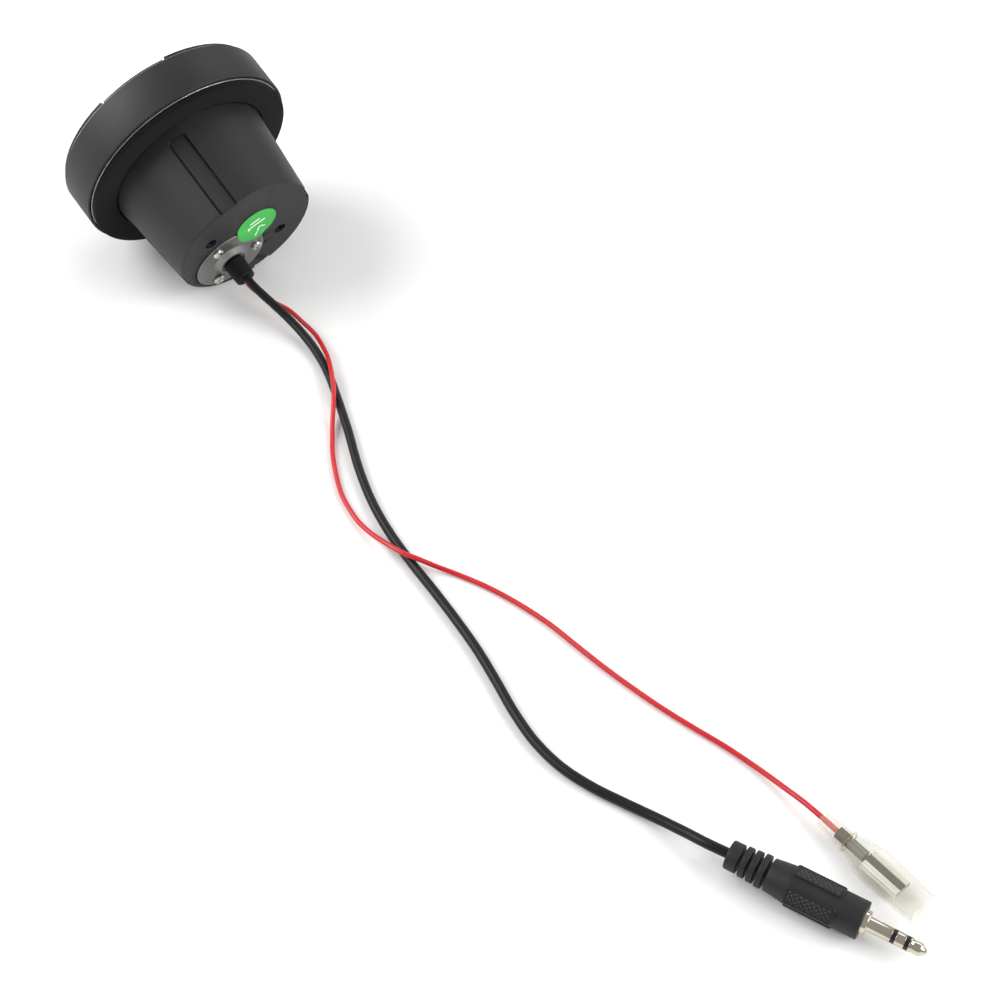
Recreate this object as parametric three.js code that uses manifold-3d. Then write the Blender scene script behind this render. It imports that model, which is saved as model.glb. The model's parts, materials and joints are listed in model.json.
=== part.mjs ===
// Round panel-mount wired remote control, with a jack plug on a black lead and a
// supply wire that ends in an insulated push-on terminal.
//
// Millimetres. Row frame: +Z up, the unit lies on its side at rest, on the rear edges
// of its bezel ring and of its case, with its axis in the XZ plane and its back
// towards +X. The leads lie on the same surface.
//
// Inside the unit's own group: Z runs along the axis from the bezel's front edge
// (z = 0) to the back, X is the row's +Y, and Y points up.

import * as THREE from 'three';
import { mergeVertices } from 'three/addons/utils/BufferGeometryUtils.js';
import Module from 'manifold-3d';

const wasm = await Module();
wasm.setup();

// ---- driving dimensions -------------------------------------------------------

const gap = 0.3;              // between pieces that touch
const roundSegments = 48;     // big round pieces
const smallSegments = 12;     // screws, pins and contacts
const leadSegments = 24;      // plug handle, terminal sleeve and gland

// bezel ring
const bezelRadius = 35;
const bezelDepth = 13;
const bezelWall = 0.7;
const bezelChamfer = 0.4;
const bezelLipFront = 1.9;    // lip that the face plate rests on
const bezelLipThick = 1.3;
const bezelLipWidth = 2.3;

// front face
const facePlateThick = 1.5;
const landHeight = 1.4;       // lands above the face plate
const landStep = 0.4;         // lands reach this far inside the rim keys
const keyWindowRim = 1;       // face plate left outside the key windows
const rimKeySweep = 38;       // degrees
const rimKeyWidth = 12.1;     // inwards from the window's outer edge
const rimKeyTop = -1.65;
const keyFlange = 0.8;        // hidden flange that keeps a key in
const keyFlangeThick = 0.6;
const keyTravel = 0.6;
const centreKeyTop = -1.3;
const lightGuideWall = 1.6;
const lightGuideTop = -0.7;
const plateRingWidth = 3.6;   // between the light guide and the rim keys

// rear case
const panelShoulder = 9.2;    // bezel's edge beyond the case, at the gasket
const caseTaper = 2.8;        // radius lost from the gasket to the back
const caseDepth = 44.7;       // back face, from the bezel's front edge
const caseWall = 2;
const caseBackThick = 3.2;
const caseFlangeThick = 1.5;
const slotWidth = 6.1;
const slotDepth = 0.9;
const slotCorner = 1.5;
const slotStart = 2.6;        // from the gasket's rear face
const slotPhase = 22;         // degrees, first slot
const studCircleRadius = 14.2;
const studBoreRadius = 1.1;
const studInsertRadius = 1.65;
const studInsertLength = 4.6;
const studInsertRecess = 0.5;
const studBossWall = 1.2;
const studBossFloor = 1;

// flange plate and gasket
const flangePlateThick = 0.5;
const gasketThick = 1.55;

// front case
const frontCaseWall = 2.2;
const frontCaseFlangeThick = 1.5;
const frontCaseFlangeWidth = 7.8;
const sealInset = 5.4;        // middle of the seal, from the case's edge
const sealSection = 0.75;
const caseScrewInset = 2.4;
const caseHeadRadius = 1.4;
const caseHeadHeight = 0.8;

// board and keypad
const boardClearance = 1.3;
const boardThick = 1.6;
const keyMatThick = 0.8;
const plungerHeight = 0.55;
const plungerRadius = 1.6;
const switchSide = 5.2;
const switchHeight = 1.5;
const actuatorHeight = 0.4;
const actuatorRadius = 1.3;
const rimSwitchInset = 4.5;   // middle of a switch, from the board's edge
const lightSize = [3, 1.6, 0.8];
const mainChipSize = [9, 9, 1.4];
const mainChipPlace = [-6, 7];
const radioChipSize = [6, 6, 1.2];
const radioChipPlace = [8, 9];
const capacitorRadius = 3.1;
const capacitorHeight = 7;
const capacitorPlaces = [[-14.5, -1], [13, -2]];
const socketSize = [10, 4.4, 5];
const leadPlugSize = [9, 4, 3];
const socketOffset = 2;       // from the gland's axis

// gland
const glandPlateRadius = 12;
const glandPlateThick = 0.9;
const glandPlateProud = 0.4;
const glandPlateInset = 1.4;  // plate's edge, from the case's edge
const glandPlateAngle = -121;
const glandBossRadius = 5.5;
const glandBossTopRadius = 4.4;
const glandBossHeight = 1.7;
const glandRadius = 3.4;
const glandEndRadius = 3.1;
const glandLength = 5.8;
const glandNeckRadius = 2.5;
const glandNeckLength = 3.2;  // inside the case
const glandNutWall = 1.6;
const glandScrewLength = 3.2;
const glandScrewInset = 2.8;  // from the plate's edge
const glandScrewPhase = 6.5;
const screwHeadRadius = 1.8;
const screwHeadHeight = 1.1;
const screwShankRadius = 0.85;

// sticker
const stickerRadius = 7;
const stickerThick = 0.15;
const stickerFromGland = [8.04, 12.53];

// black lead and plug
const innerLeadRadius = 1.2;
const blackRadius = 1.3;
const gripRadius = 5.15;
const handleLength = 33.7;
const jackRadius = 1.75;
const plugStart = [261.5, -28.2];
const plugHeading = 19.7;     // degrees, from +X towards +Y

// red wire and terminal
const redRadius = 0.7;
const sleeveLength = 31;
const sleeveWall = 0.55;
const sleeveHalfHeight = 3;
const sleeveStart = [268.1, -3.2];
const sleeveHeading = 0.7;

// ---- sizes that follow ----------------------------------------------------------

const rad = THREE.MathUtils.degToRad;
const bezelBore = bezelRadius - bezelWall;
const facePlateRadius = bezelBore - gap;
const facePlateBack = bezelLipFront - gap;
const facePlateFront = facePlateBack - facePlateThick;
const landTop = facePlateFront - landHeight;
const keyWindowRadius = facePlateRadius - keyWindowRim;
const rimKeyInnerRadius = keyWindowRadius - rimKeyWidth;
const landInnerRadius = rimKeyInnerRadius - landStep;
const lightGuideOuter = rimKeyInnerRadius - plateRingWidth;
const lightGuideInner = lightGuideOuter - lightGuideWall;
const centreKeyRadius = lightGuideInner - gap;
const bezelLipRadius = bezelBore - bezelLipWidth;
const lipBack = bezelLipFront + bezelLipThick;
const keyFlangeFront = facePlateBack + gap;
const keyFlangeBack = keyFlangeFront + keyFlangeThick;
const keyMatFront = Math.max(keyFlangeBack + keyTravel + gap, lipBack + gap);
const keyMatBack = keyMatFront + keyMatThick;
const plungerBack = keyMatBack + plungerHeight;
const switchTop = plungerBack + gap;
const boardFront = switchTop + actuatorHeight + switchHeight + gap;
const boardBack = boardFront + boardThick;
const frontCaseFront = lipBack + gap;
const frontCaseRadius = bezelBore - gap;
const frontCaseBore = frontCaseRadius - frontCaseWall;
const frontCaseFlangeRadius = frontCaseRadius - frontCaseFlangeWidth;
const sealRadius = frontCaseRadius - sealInset;
const caseScrewCircle = frontCaseRadius - caseScrewInset;
const boardRadius = frontCaseBore - boardClearance;
const rimSwitchCircle = boardRadius - rimSwitchInset;
const frontFlangeFront = boardBack + gap;
const frontCaseBack = frontFlangeFront + frontCaseFlangeThick;
const caseFlangeFront = frontCaseBack + gap;
const caseFlangeBack = caseFlangeFront + caseFlangeThick;
const flangePlateFront = caseFlangeBack + gap;
const flangePlateBack = flangePlateFront + flangePlateThick;
const flangePlateRadius = bezelBore - gap;
const gasketFront = flangePlateBack + gap;
const gasketBack = gasketFront + gasketThick;
const caseRadiusAtBack = bezelRadius - panelShoulder - caseTaper;
const caseDraft = caseTaper / (caseDepth - gasketBack);
const caseRadiusAt = (z) => caseRadiusAtBack + (caseDepth - z) * caseDraft;
const neckClearRadius = caseRadiusAt(caseFlangeBack) + gap;
const caseInnerBack = caseDepth - caseBackThick;
const glandPlateOffset = caseRadiusAtBack - glandPlateInset - glandPlateRadius;
const glandScrewCircle = glandPlateRadius - glandScrewInset;
const glandX = glandPlateOffset * Math.cos(rad(glandPlateAngle));
const glandY = glandPlateOffset * Math.sin(rad(glandPlateAngle));
const glandPlateTop = caseDepth + glandPlateProud;
const glandPlateBottom = glandPlateTop - glandPlateThick;
const bossTop = glandPlateTop + glandBossHeight;
const glandStart = bossTop + gap;
const glandEnd = glandStart + glandLength;
const studFloor = caseDepth - studInsertRecess - studInsertLength - gap;
const slotAngles = [0, 1, 2, 3].map((i) => slotPhase + 90 * i);

// the unit rests on the bezel ring's rear edge and the case's rear edge
const lean = Math.atan2(bezelRadius - caseRadiusAtBack, caseDepth - bezelDepth);

// ---- materials --------------------------------------------------------------------

const finish = (color, roughness, metalness = 0) =>
  new THREE.MeshStandardMaterial({ color, roughness, metalness });
const finishes = {
  blackAbs: finish(0x1b1c1e, 0.6),
  keyAbs: finish(0x141517, 0.45),
  foam: finish(0x101011, 0.95),
  silicone: finish(0x2a2c2e, 0.8),
  rubber: finish(0x161718, 0.85),
  aluminium: finish(0xa9abad, 0.4, 1),
  nickel: finish(0xc9c6c0, 0.2, 1),
  steel: finish(0x8f9294, 0.35, 1),
  board: finish(0x1f5a35, 0.5),
  chip: finish(0x18191b, 0.5),
  diffuser: finish(0xe8eef2, 0.4),
  nylon: finish(0xe9e4d4, 0.6),
  green: finish(0x5fcf6a, 0.5),
  red: finish(0xc81f2a, 0.45),
  milky: finish(0xece9dc, 0.4),
};

// ---- geometry helpers -----------------------------------------------------------------

// A closed three.js geometry as a manifold solid, turned right side out if it needs it.
function solid(geometry) {
  const bare = geometry.index ? geometry.toNonIndexed() : geometry.clone();
  bare.deleteAttribute('normal');
  bare.deleteAttribute('uv');
  const merged = mergeVertices(bare, 1e-4);
  const points = merged.attributes.position;
  const corners = [];
  let volume = 0;
  const a = new THREE.Vector3();
  const b = new THREE.Vector3();
  const c = new THREE.Vector3();
  for (let i = 0; i < merged.index.count; i += 3) {
    const [p, q, r] = [0, 1, 2].map((k) => merged.index.getX(i + k));
    if (p === q || q === r || r === p) continue;
    corners.push([p, q, r]);
    a.fromBufferAttribute(points, p);
    b.fromBufferAttribute(points, q);
    c.fromBufferAttribute(points, r);
    volume += a.dot(b.cross(c));
  }
  const triVerts = new Uint32Array(corners.flatMap(([p, q, r]) => (volume < 0 ? [p, r, q] : [p, q, r])));
  const vertProperties = new Float32Array(points.array);
  return new wasm.Manifold(new wasm.Mesh({ numProp: 3, vertProperties, triVerts }));
}

function toGeometry(manifold) {
  const mesh = manifold.getMesh();
  const geometry = new THREE.BufferGeometry();
  geometry.setAttribute('position', new THREE.BufferAttribute(new Float32Array(mesh.vertProperties), 3));
  geometry.setIndex(Array.from(mesh.triVerts));
  geometry.computeVertexNormals();
  return geometry;
}

const join = (first, ...rest) => rest.reduce((sum, next) => sum.add(next), first);
const cut = (first, ...rest) => rest.reduce((left, next) => left.subtract(next), first);

// Profile of [radius, z] corners, turned about Z. A profile off the axis closes on itself.
function turned(profile, segments = roundSegments) {
  const points = profile.map(([r, z]) => new THREE.Vector2(r, z));
  const onAxis = profile[0][0] === 0 && profile.at(-1)[0] === 0;
  if (!onAxis) points.push(points[0].clone());
  return solid(new THREE.LatheGeometry(points, segments).rotateX(Math.PI / 2));
}

const disc = (radius, z0, z1, segments = roundSegments) =>
  turned([[0, z0], [radius, z0], [radius, z1], [0, z1]], segments);

const tube = (inner, outer, z0, z1, segments = roundSegments) =>
  turned([[inner, z0], [outer, z0], [outer, z1], [inner, z1]], segments);

function block(width, depth, z0, z1, x = 0, y = 0) {
  const box = new THREE.BoxGeometry(width, depth, z1 - z0);
  return solid(box.translate(x, y, (z0 + z1) / 2));
}

// Part of a ring between two radii, centred on an angle in degrees.
function sector(inner, outer, middle, sweep, z0, z1) {
  const from = rad(middle - sweep / 2);
  const to = rad(middle + sweep / 2);
  const shape = new THREE.Shape();
  shape.absarc(0, 0, outer, from, to, false);
  shape.absarc(0, 0, inner, to, from, true);
  const body = new THREE.ExtrudeGeometry(shape, { depth: z1 - z0, bevelEnabled: false, curveSegments: 4 });
  return solid(body.translate(0, 0, z0));
}

// Solids that are joined into one piece run this far into each other, and cuts run
// this far past what they cut.
const sunk = 0.2;
const past = 1;

// Sweep in degrees that leaves a clearance of so many millimetres on both sides.
const widened = (sweep, clearance, radius) => sweep + THREE.MathUtils.radToDeg((2 * clearance) / radius);

const polar = (radius, degrees) => [radius * Math.cos(rad(degrees)), radius * Math.sin(rad(degrees))];

// ---- the scene ------------------------------------------------------------------------

const part = new THREE.Group();
const unit = new THREE.Group();
const axis = new THREE.Vector3(Math.cos(lean), 0, -Math.sin(lean));
const upward = new THREE.Vector3(Math.sin(lean), 0, Math.cos(lean));
unit.setRotationFromMatrix(new THREE.Matrix4().makeBasis(new THREE.Vector3(0, 1, 0), upward, axis));
part.add(unit);

function piece(name, manifold, material, parent = unit, place = [0, 0, 0], turn = 0) {
  const mesh = new THREE.Mesh(toGeometry(manifold), material);
  mesh.name = name;
  mesh.position.set(...place);
  mesh.rotation.z = rad(turn);
  parent.add(mesh);
  return mesh;
}

// ---- bezel ring -------------------------------------------------------------------------

piece(
  'bezel_ring',
  turned([
    [bezelBore, 0],
    [bezelRadius - bezelChamfer, 0],
    [bezelRadius, bezelChamfer],
    [bezelRadius, bezelDepth],
    [bezelBore, bezelDepth],
    [bezelBore, lipBack],
    [bezelLipRadius, lipBack],
    [bezelLipRadius, bezelLipFront],
    [bezelBore, bezelLipFront],
  ]),
  finishes.blackAbs,
);

// ---- front face: plate with lands, light guide and keys -------------------------------------

const landSweep = 90 - widened(rimKeySweep, gap, keyWindowRadius);

function facePlate() {
  let plate = tube(lightGuideOuter + gap, facePlateRadius, facePlateFront, facePlateBack);
  for (const angle of slotAngles) {
    const window = sector(
      rimKeyInnerRadius - gap,
      keyWindowRadius,
      angle,
      widened(rimKeySweep, gap, rimKeyInnerRadius),
      facePlateFront - past,
      facePlateBack + past,
    );
    const land = sector(landInnerRadius, facePlateRadius, angle + 45, landSweep, landTop, facePlateFront + sunk);
    plate = plate.subtract(window).add(land);
  }
  return plate;
}
piece('face_plate', facePlate(), finishes.blackAbs);

// A key's cap comes through its window. Its wider flange stays under the face plate,
// and its outer edge is relieved so that it clears the bezel's lip when it is pressed.
function rimKey(angle) {
  const capRadius = keyWindowRadius - gap;
  const flangeRadius = bezelLipRadius - gap;
  const cap = sector(rimKeyInnerRadius, capRadius, angle, rimKeySweep, rimKeyTop, keyFlangeBack);
  const flange = sector(
    rimKeyInnerRadius - keyFlange,
    flangeRadius,
    angle,
    widened(rimKeySweep, keyFlange, rimKeyInnerRadius),
    keyFlangeFront,
    keyFlangeBack,
  );
  const reliefFront = bezelLipFront - keyTravel - gap;
  return cap.add(flange).subtract(tube(flangeRadius, bezelRadius, reliefFront, keyFlangeBack + past));
}
const rimKeyNames = ['key_previous', 'key_volume_up', 'key_next', 'key_volume_down'];
rimKeyNames.forEach((name, i) => piece(name, rimKey(slotAngles[i]), finishes.keyAbs));

piece(
  'key_play',
  turned([
    [0, centreKeyTop],
    [centreKeyRadius, centreKeyTop],
    [centreKeyRadius, keyFlangeFront],
    [centreKeyRadius + keyFlange, keyFlangeFront],
    [centreKeyRadius + keyFlange, keyFlangeBack],
    [0, keyFlangeBack],
  ]),
  finishes.keyAbs,
);

piece('light_guide', tube(lightGuideInner, lightGuideOuter, lightGuideTop, facePlateBack), finishes.diffuser);

// ---- key mat, board and what it carries -------------------------------------------------------

const switchPlaces = [[0, 0], ...slotAngles.map((angle) => polar(rimSwitchCircle, angle))];

function keyMat() {
  const plungers = switchPlaces.map(([x, y]) =>
    disc(plungerRadius, keyMatBack - sunk, plungerBack, smallSegments).translate([x, y, 0]),
  );
  return join(disc(frontCaseBore - gap, keyMatFront, keyMatBack), ...plungers);
}
piece('key_mat', keyMat(), finishes.silicone);

piece('circuit_board', disc(boardRadius, boardFront, boardBack), finishes.board);

const tactSwitch = join(
  block(switchSide, switchSide, -switchHeight, 0),
  disc(actuatorRadius, -switchHeight - actuatorHeight, -switchHeight + sunk, smallSegments),
);
switchPlaces.forEach(([x, y], i) =>
  piece(`tact_switch_${i + 1}`, tactSwitch, finishes.steel, unit, [x, y, boardFront - gap]),
);

const boxOnBoard = ([width, depth, height]) => block(width, depth, 0, height);
const keyLight = boxOnBoard(lightSize).translate([0, 0, -lightSize[2]]);
slotAngles.forEach((angle, i) => {
  const [x, y] = polar((lightGuideInner + lightGuideOuter) / 2, angle + 45);
  piece(`key_light_${i + 1}`, keyLight, finishes.nylon, unit, [x, y, boardFront - gap], angle + 135);
});

// on the back of the board, inside the rear case
const onBoardBack = boardBack + gap;
piece('main_chip', boxOnBoard(mainChipSize), finishes.chip, unit, [...mainChipPlace, onBoardBack], slotPhase);
piece('radio_chip', boxOnBoard(radioChipSize), finishes.chip, unit, [...radioChipPlace, onBoardBack], slotPhase);
capacitorPlaces.forEach((place, i) => {
  const can = disc(capacitorRadius, 0, capacitorHeight, smallSegments);
  piece(`capacitor_${i + 1}`, can, finishes.aluminium, unit, [...place, onBoardBack]);
});

const socketY = glandY + socketOffset;
const leadPlugFront = onBoardBack + socketSize[2] + gap;
piece('lead_socket', boxOnBoard(socketSize), finishes.nylon, unit, [glandX, socketY, onBoardBack]);
piece('lead_plug', boxOnBoard(leadPlugSize), finishes.nylon, unit, [glandX, socketY, leadPlugFront]);

// ---- front case, seal and case screws -----------------------------------------------------------

const caseScrewPlaces = slotAngles.map((angle) => polar(caseScrewCircle, angle + 45));
const shankHoleRadius = screwShankRadius + gap;
const sealMiddle = frontCaseBack + gap / 2;
const sealGroove = tube(
  sealRadius - sealSection - gap,
  sealRadius + sealSection + gap,
  sealMiddle - sealSection - gap,
  sealMiddle + sealSection + gap,
);
const holeAt = (radius, z0, z1, [x, y]) => disc(radius, z0, z1, smallSegments).translate([x, y, 0]);

function frontCase() {
  const wall = tube(frontCaseBore, frontCaseRadius, frontCaseFront, frontCaseBack);
  const flange = tube(frontCaseFlangeRadius, frontCaseBore + sunk, frontFlangeFront, frontCaseBack);
  const holes = caseScrewPlaces.map((place) =>
    holeAt(shankHoleRadius, frontFlangeFront - past, frontCaseBack + past, place),
  );
  return cut(wall.add(flange), sealGroove, ...holes);
}
piece('front_case', frontCase(), finishes.blackAbs);

// the seal's round section, as a six-sided profile
const sealProfile = Array.from({ length: 6 }, (_, i) => {
  const [dr, dz] = polar(sealSection, 60 * i);
  return [sealRadius + dr, sealMiddle + dz];
});
piece('case_seal', turned(sealProfile, 36), finishes.rubber);

// Pan-head screw with a cross recess, its seat at z = 0 and its shank towards -Z.
function panScrew(headRadius, headHeight, shankLength, recess) {
  const body = turned(
    [
      [0, -shankLength],
      [screwShankRadius, -shankLength],
      [screwShankRadius, 0],
      [headRadius, 0],
      [headRadius, headHeight * 0.45],
      [headRadius * 0.8, headHeight * 0.85],
      [headRadius * 0.45, headHeight],
      [0, headHeight],
    ],
    smallSegments,
  );
  const slot = block(headRadius * 1.15, headRadius * 0.28, headHeight - recess, headHeight + past);
  return cut(body, slot, slot.rotate([0, 0, 90]));
}

const caseScrewSeat = caseFlangeBack - caseHeadHeight;
const caseScrewLength = caseScrewSeat - frontFlangeFront - sunk;
const caseScrew = panScrew(caseHeadRadius, caseHeadHeight, caseScrewLength, 0.4);
caseScrewPlaces.forEach((place, i) =>
  piece(`case_screw_${i + 1}`, caseScrew, finishes.steel, unit, [...place, caseScrewSeat], 25 * i),
);

// ---- rear case --------------------------------------------------------------------------------

const studPlaces = [slotPhase - 45, slotPhase + 135].map((angle) => polar(studCircleRadius, angle));
const studHoleRadius = studInsertRadius + gap;
const glandScrewPlaces = [0, 1, 2].map((i) => {
  const [x, y] = polar(glandScrewCircle, glandScrewPhase + 120 * i);
  return [glandX + x, glandY + y];
});

// A slot is a bar with rounded front corners, laid along the case, that cuts only what
// lies outside a cone one slot's depth under the skin.
function caseSlot(angle) {
  const front = gasketBack + slotStart;
  const half = slotWidth / 2;
  const pastBack = caseDepth + past;
  const outside = caseRadiusAt(front) + 3 * past;
  const shape = new THREE.Shape();
  shape.moveTo(half, pastBack);
  shape.lineTo(-half, pastBack);
  shape.lineTo(-half, front + slotCorner);
  shape.absarc(-half + slotCorner, front + slotCorner, slotCorner, Math.PI, 1.5 * Math.PI, false);
  shape.absarc(half - slotCorner, front + slotCorner, slotCorner, 1.5 * Math.PI, 2 * Math.PI, false);
  const bar = new THREE.ExtrudeGeometry(shape, { depth: outside, bevelEnabled: false, curveSegments: 4 });
  // the shape's y becomes Z, and its depth points outwards along the slot's angle
  bar.rotateX(Math.PI / 2).rotateZ(rad(angle + 90));
  const outsideSkin = turned([
    [caseRadiusAt(front - past) - slotDepth, front - past],
    [outside, front - past],
    [outside, pastBack],
    [caseRadiusAt(pastBack) - slotDepth, pastBack],
  ]);
  return solid(bar).intersect(outsideSkin);
}

function rearCase() {
  const shell = turned([
    [0, caseDepth],
    [caseRadiusAtBack, caseDepth],
    [caseRadiusAt(caseFlangeBack), caseFlangeBack],
    [frontCaseRadius, caseFlangeBack],
    [frontCaseRadius, caseFlangeFront],
    [caseRadiusAt(caseFlangeFront) - caseWall, caseFlangeFront],
    [caseRadiusAt(caseInnerBack) - caseWall, caseInnerBack],
    [0, caseInnerBack],
  ]);
  const bosses = studPlaces.map((place) =>
    holeAt(studHoleRadius + studBossWall, studFloor - studBossFloor, caseInnerBack + sunk, place),
  );
  const glandPocket = disc(glandPlateRadius + gap, glandPlateBottom - gap, caseDepth + past);
  const neckHole = disc(glandNeckRadius + gap, caseInnerBack - past, caseDepth + past, smallSegments);
  const screwEnd = glandPlateTop + gap - glandScrewLength;
  return cut(
    join(shell, ...bosses),
    ...slotAngles.map(caseSlot),
    ...studPlaces.map((place) => holeAt(studHoleRadius, studFloor, caseDepth + past, place)),
    glandPocket.translate([glandX, glandY, 0]),
    neckHole.translate([glandX, glandY, 0]),
    ...glandScrewPlaces.map((place) => holeAt(shankHoleRadius, screwEnd - gap, caseDepth + past, place)),
    ...caseScrewPlaces.map((place) => holeAt(shankHoleRadius, caseFlangeFront - past, caseFlangeBack + past, place)),
    ...caseScrewPlaces.map((place) =>
      holeAt(caseHeadRadius + gap, caseScrewSeat - gap, caseFlangeBack + past, place),
    ),
    sealGroove,
  );
}
piece('rear_case', rearCase(), finishes.blackAbs);

piece('flange_plate', tube(neckClearRadius, flangePlateRadius, flangePlateFront, flangePlateBack), finishes.aluminium);
piece('panel_gasket', tube(neckClearRadius, flangePlateRadius, gasketFront, gasketBack), finishes.foam);

// threaded sleeve in each stud hole, a little below the case's back
const studInsert = tube(studBoreRadius, studInsertRadius, -studInsertLength, 0, smallSegments);
studPlaces.forEach(([x, y], i) =>
  piece(`stud_insert_${i + 1}`, studInsert, finishes.steel, unit, [x, y, caseDepth - studInsertRecess]),
);

// ---- gland: plate with a raised boss, three screws, rubber gland and its nut -------------------------

function glandPlate() {
  const body = turned([
    [glandNeckRadius + gap, glandPlateBottom],
    [glandPlateRadius, glandPlateBottom],
    [glandPlateRadius, glandPlateTop],
    [glandBossRadius, glandPlateTop],
    [glandBossTopRadius, bossTop],
    [glandNeckRadius + gap, bossTop],
  ]);
  const holeThrough = (radius) => ([x, y]) =>
    holeAt(radius, glandPlateBottom - past, bossTop + past, [x - glandX, y - glandY]);
  return cut(body, ...glandScrewPlaces.map(holeThrough(shankHoleRadius)), ...studPlaces.map(holeThrough(studHoleRadius)));
}
piece('gland_plate', glandPlate(), finishes.aluminium, unit, [glandX, glandY, 0]);

const glandScrew = panScrew(screwHeadRadius, screwHeadHeight, glandScrewLength, 0.6);
glandScrewPlaces.forEach(([x, y], i) =>
  piece(`gland_screw_${i + 1}`, glandScrew, finishes.nickel, unit, [x, y, glandPlateTop + gap], 20 + 35 * i),
);

const neckEnd = caseInnerBack - glandNeckLength;
const glandEndRound = 0.5;
piece(
  'cable_gland',
  turned(
    [
      [0, neckEnd],
      [glandNeckRadius, neckEnd],
      [glandNeckRadius, glandStart],
      [glandRadius, glandStart],
      [glandEndRadius, glandEnd - glandEndRound],
      [glandEndRadius - glandEndRound, glandEnd],
      [0, glandEnd],
    ],
    leadSegments,
  ),
  finishes.rubber,
  unit,
  [glandX, glandY, 0],
);

function glandNut() {
  const hole = glandNeckRadius + gap;
  const hexRadius = (hole + glandNutWall) / Math.cos(Math.PI / 6);
  const hex = disc(hexRadius, neckEnd + gap, caseInnerBack - gap, 6);
  return hex.subtract(disc(hole, neckEnd, caseInnerBack, smallSegments));
}
piece('gland_nut', glandNut(), finishes.steel, unit, [glandX, glandY, 0]);

// ---- sticker: lies on the case's back and steps up over the gland plate's edge -----------------------

function sticker() {
  const low = caseDepth + gap;
  const high = glandPlateTop + gap;
  const top = high + stickerThick;
  const place = [glandX + stickerFromGland[0], glandY + stickerFromGland[1], 0];
  const glandPlace = [glandX, glandY, 0];
  const onPlate = disc(glandPlateRadius + 2 * gap, low - past, top + 2 * past).translate(glandPlace);
  const aboveCase = disc(stickerRadius + past, low + stickerThick, top + past).translate(place);
  const underSheet = disc(glandPlateRadius + gap, low - past, high).translate(glandPlace);
  return disc(stickerRadius, low, top).translate(place).subtract(aboveCase.subtract(onPlate)).subtract(underSheet);
}
piece('round_sticker', sticker(), finishes.green);

// ---- leads ----------------------------------------------------------------------------------------------

// A lead is an eight-sided bar along a smooth curve through its points.
function lead(points, radius, stepDiameters) {
  const curve = new THREE.CatmullRomCurve3(points.map((p) => new THREE.Vector3(...p)), false, 'centripetal');
  const section = new THREE.Shape();
  section.absarc(0, 0, radius, 0, 2 * Math.PI, false);
  const steps = Math.round(curve.getLength() / (2 * radius * stepDiameters));
  return solid(
    new THREE.ExtrudeGeometry(section, { extrudePath: curve, steps, curveSegments: 4, bevelEnabled: false }),
  );
}

// inside the case, from the gland's neck to the board
const innerLeadStart = leadPlugFront + leadPlugSize[2] + gap;
const innerLeadEnd = neckEnd - gap;
const innerLead = [
  [glandX, socketY, innerLeadStart],
  [glandX, socketY, innerLeadStart + 4],
  [glandX + 1.5, socketY - 1, (innerLeadStart + innerLeadEnd) / 2],
  [glandX, glandY, innerLeadEnd - 4],
  [glandX, glandY, innerLeadEnd],
];
piece('inner_lead', lead(innerLead, innerLeadRadius, 2), finishes.rubber);

// Black lead: out of the gland, down onto the surface, and along it to the plug.
const blackRoute = [
  [28.8, -4.9, 11.6],
  [31.6, -4.8, 10.5],
  [35.4, -3.9, 8.6],
  [40.4, -2.4, 6],
  [45.8, -1.4, 3.9],
  [51.8, -1.2, 2.5],
  [58.3, -1.8, 1.7],
  [65.1, -3.3, 1.4],
  [71.3, -5.3, 1.35],
  [78.1, -8, 1.35],
  [86.7, -11.6, 1.35],
  [93.1, -14.4, 1.35],
  [105.6, -20.2, 1.35],
  [118.1, -24.9, 1.35],
  [130.3, -28, 1.35],
  [143.3, -30, 1.35],
  [154.8, -31.3, 1.35],
  [165.9, -32.8, 1.35],
  [176.6, -34.6, 1.35],
  [187.2, -37.1, 1.35],
  [197.4, -39.7, 1.35],
  [207.4, -41.3, 1.35],
  [216.9, -41.1, 1.35],
  [225.8, -39.1, 1.35],
  [234, -36.2, 1.45],
  [242.3, -33.3, 2],
  [250.5, -31.2, 3.5],
  [256, -30.1, 4.8],
  [261.2, -28.3, 5.15],
];
piece('black_lead', lead(blackRoute, blackRadius, 2.4), finishes.rubber, part);

// Red wire: beside the black lead, then over it in two long low humps, to its terminal.
const redRoute = [
  [28, -4.9, 9.4],
  [30.9, -4.6, 8.3],
  [36, -2, 5.6],
  [41, 1.1, 3.4],
  [46.9, 2, 2.1],
  [53.6, 2, 1.7],
  [61.6, -0.2, 2.6],
  [66.6, -2.2, 3.4],
  [72.3, -5.2, 3.8],
  [77.4, -8.2, 3.8],
  [80.3, -10.3, 3.7],
  [82.5, -12, 3.2],
  [86, -15, 1.7],
  [91.3, -19, 0.8],
  [97.1, -23, 0.75],
  [109.3, -29.2, 0.75],
  [115.9, -31.1, 0.8],
  [121.9, -32.1, 1],
  [128.3, -32.2, 1.8],
  [134.5, -31.8, 3.2],
  [140.1, -30.7, 3.8],
  [144.4, -28.4, 3.3],
  [147.9, -25.8, 1.8],
  [152.1, -23.1, 0.85],
  [161.4, -19.2, 0.75],
  [171.2, -16.4, 0.75],
  [181.2, -14.5, 0.75],
  [191.4, -13.6, 0.75],
  [201.3, -12.7, 0.75],
  [210.9, -11.4, 0.75],
  [220.3, -9.8, 0.75],
  [229.3, -7.8, 0.75],
  [238, -5.7, 0.75],
  [246.9, -4.2, 0.9],
  [255.9, -3.4, 1.6],
  [262, -3.2, 2.5],
  [268.1, -3.2, 3],
  [276.5, -3.1, 3],
];
piece('red_wire', lead(redRoute, redRadius, 3), finishes.red, part);

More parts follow.
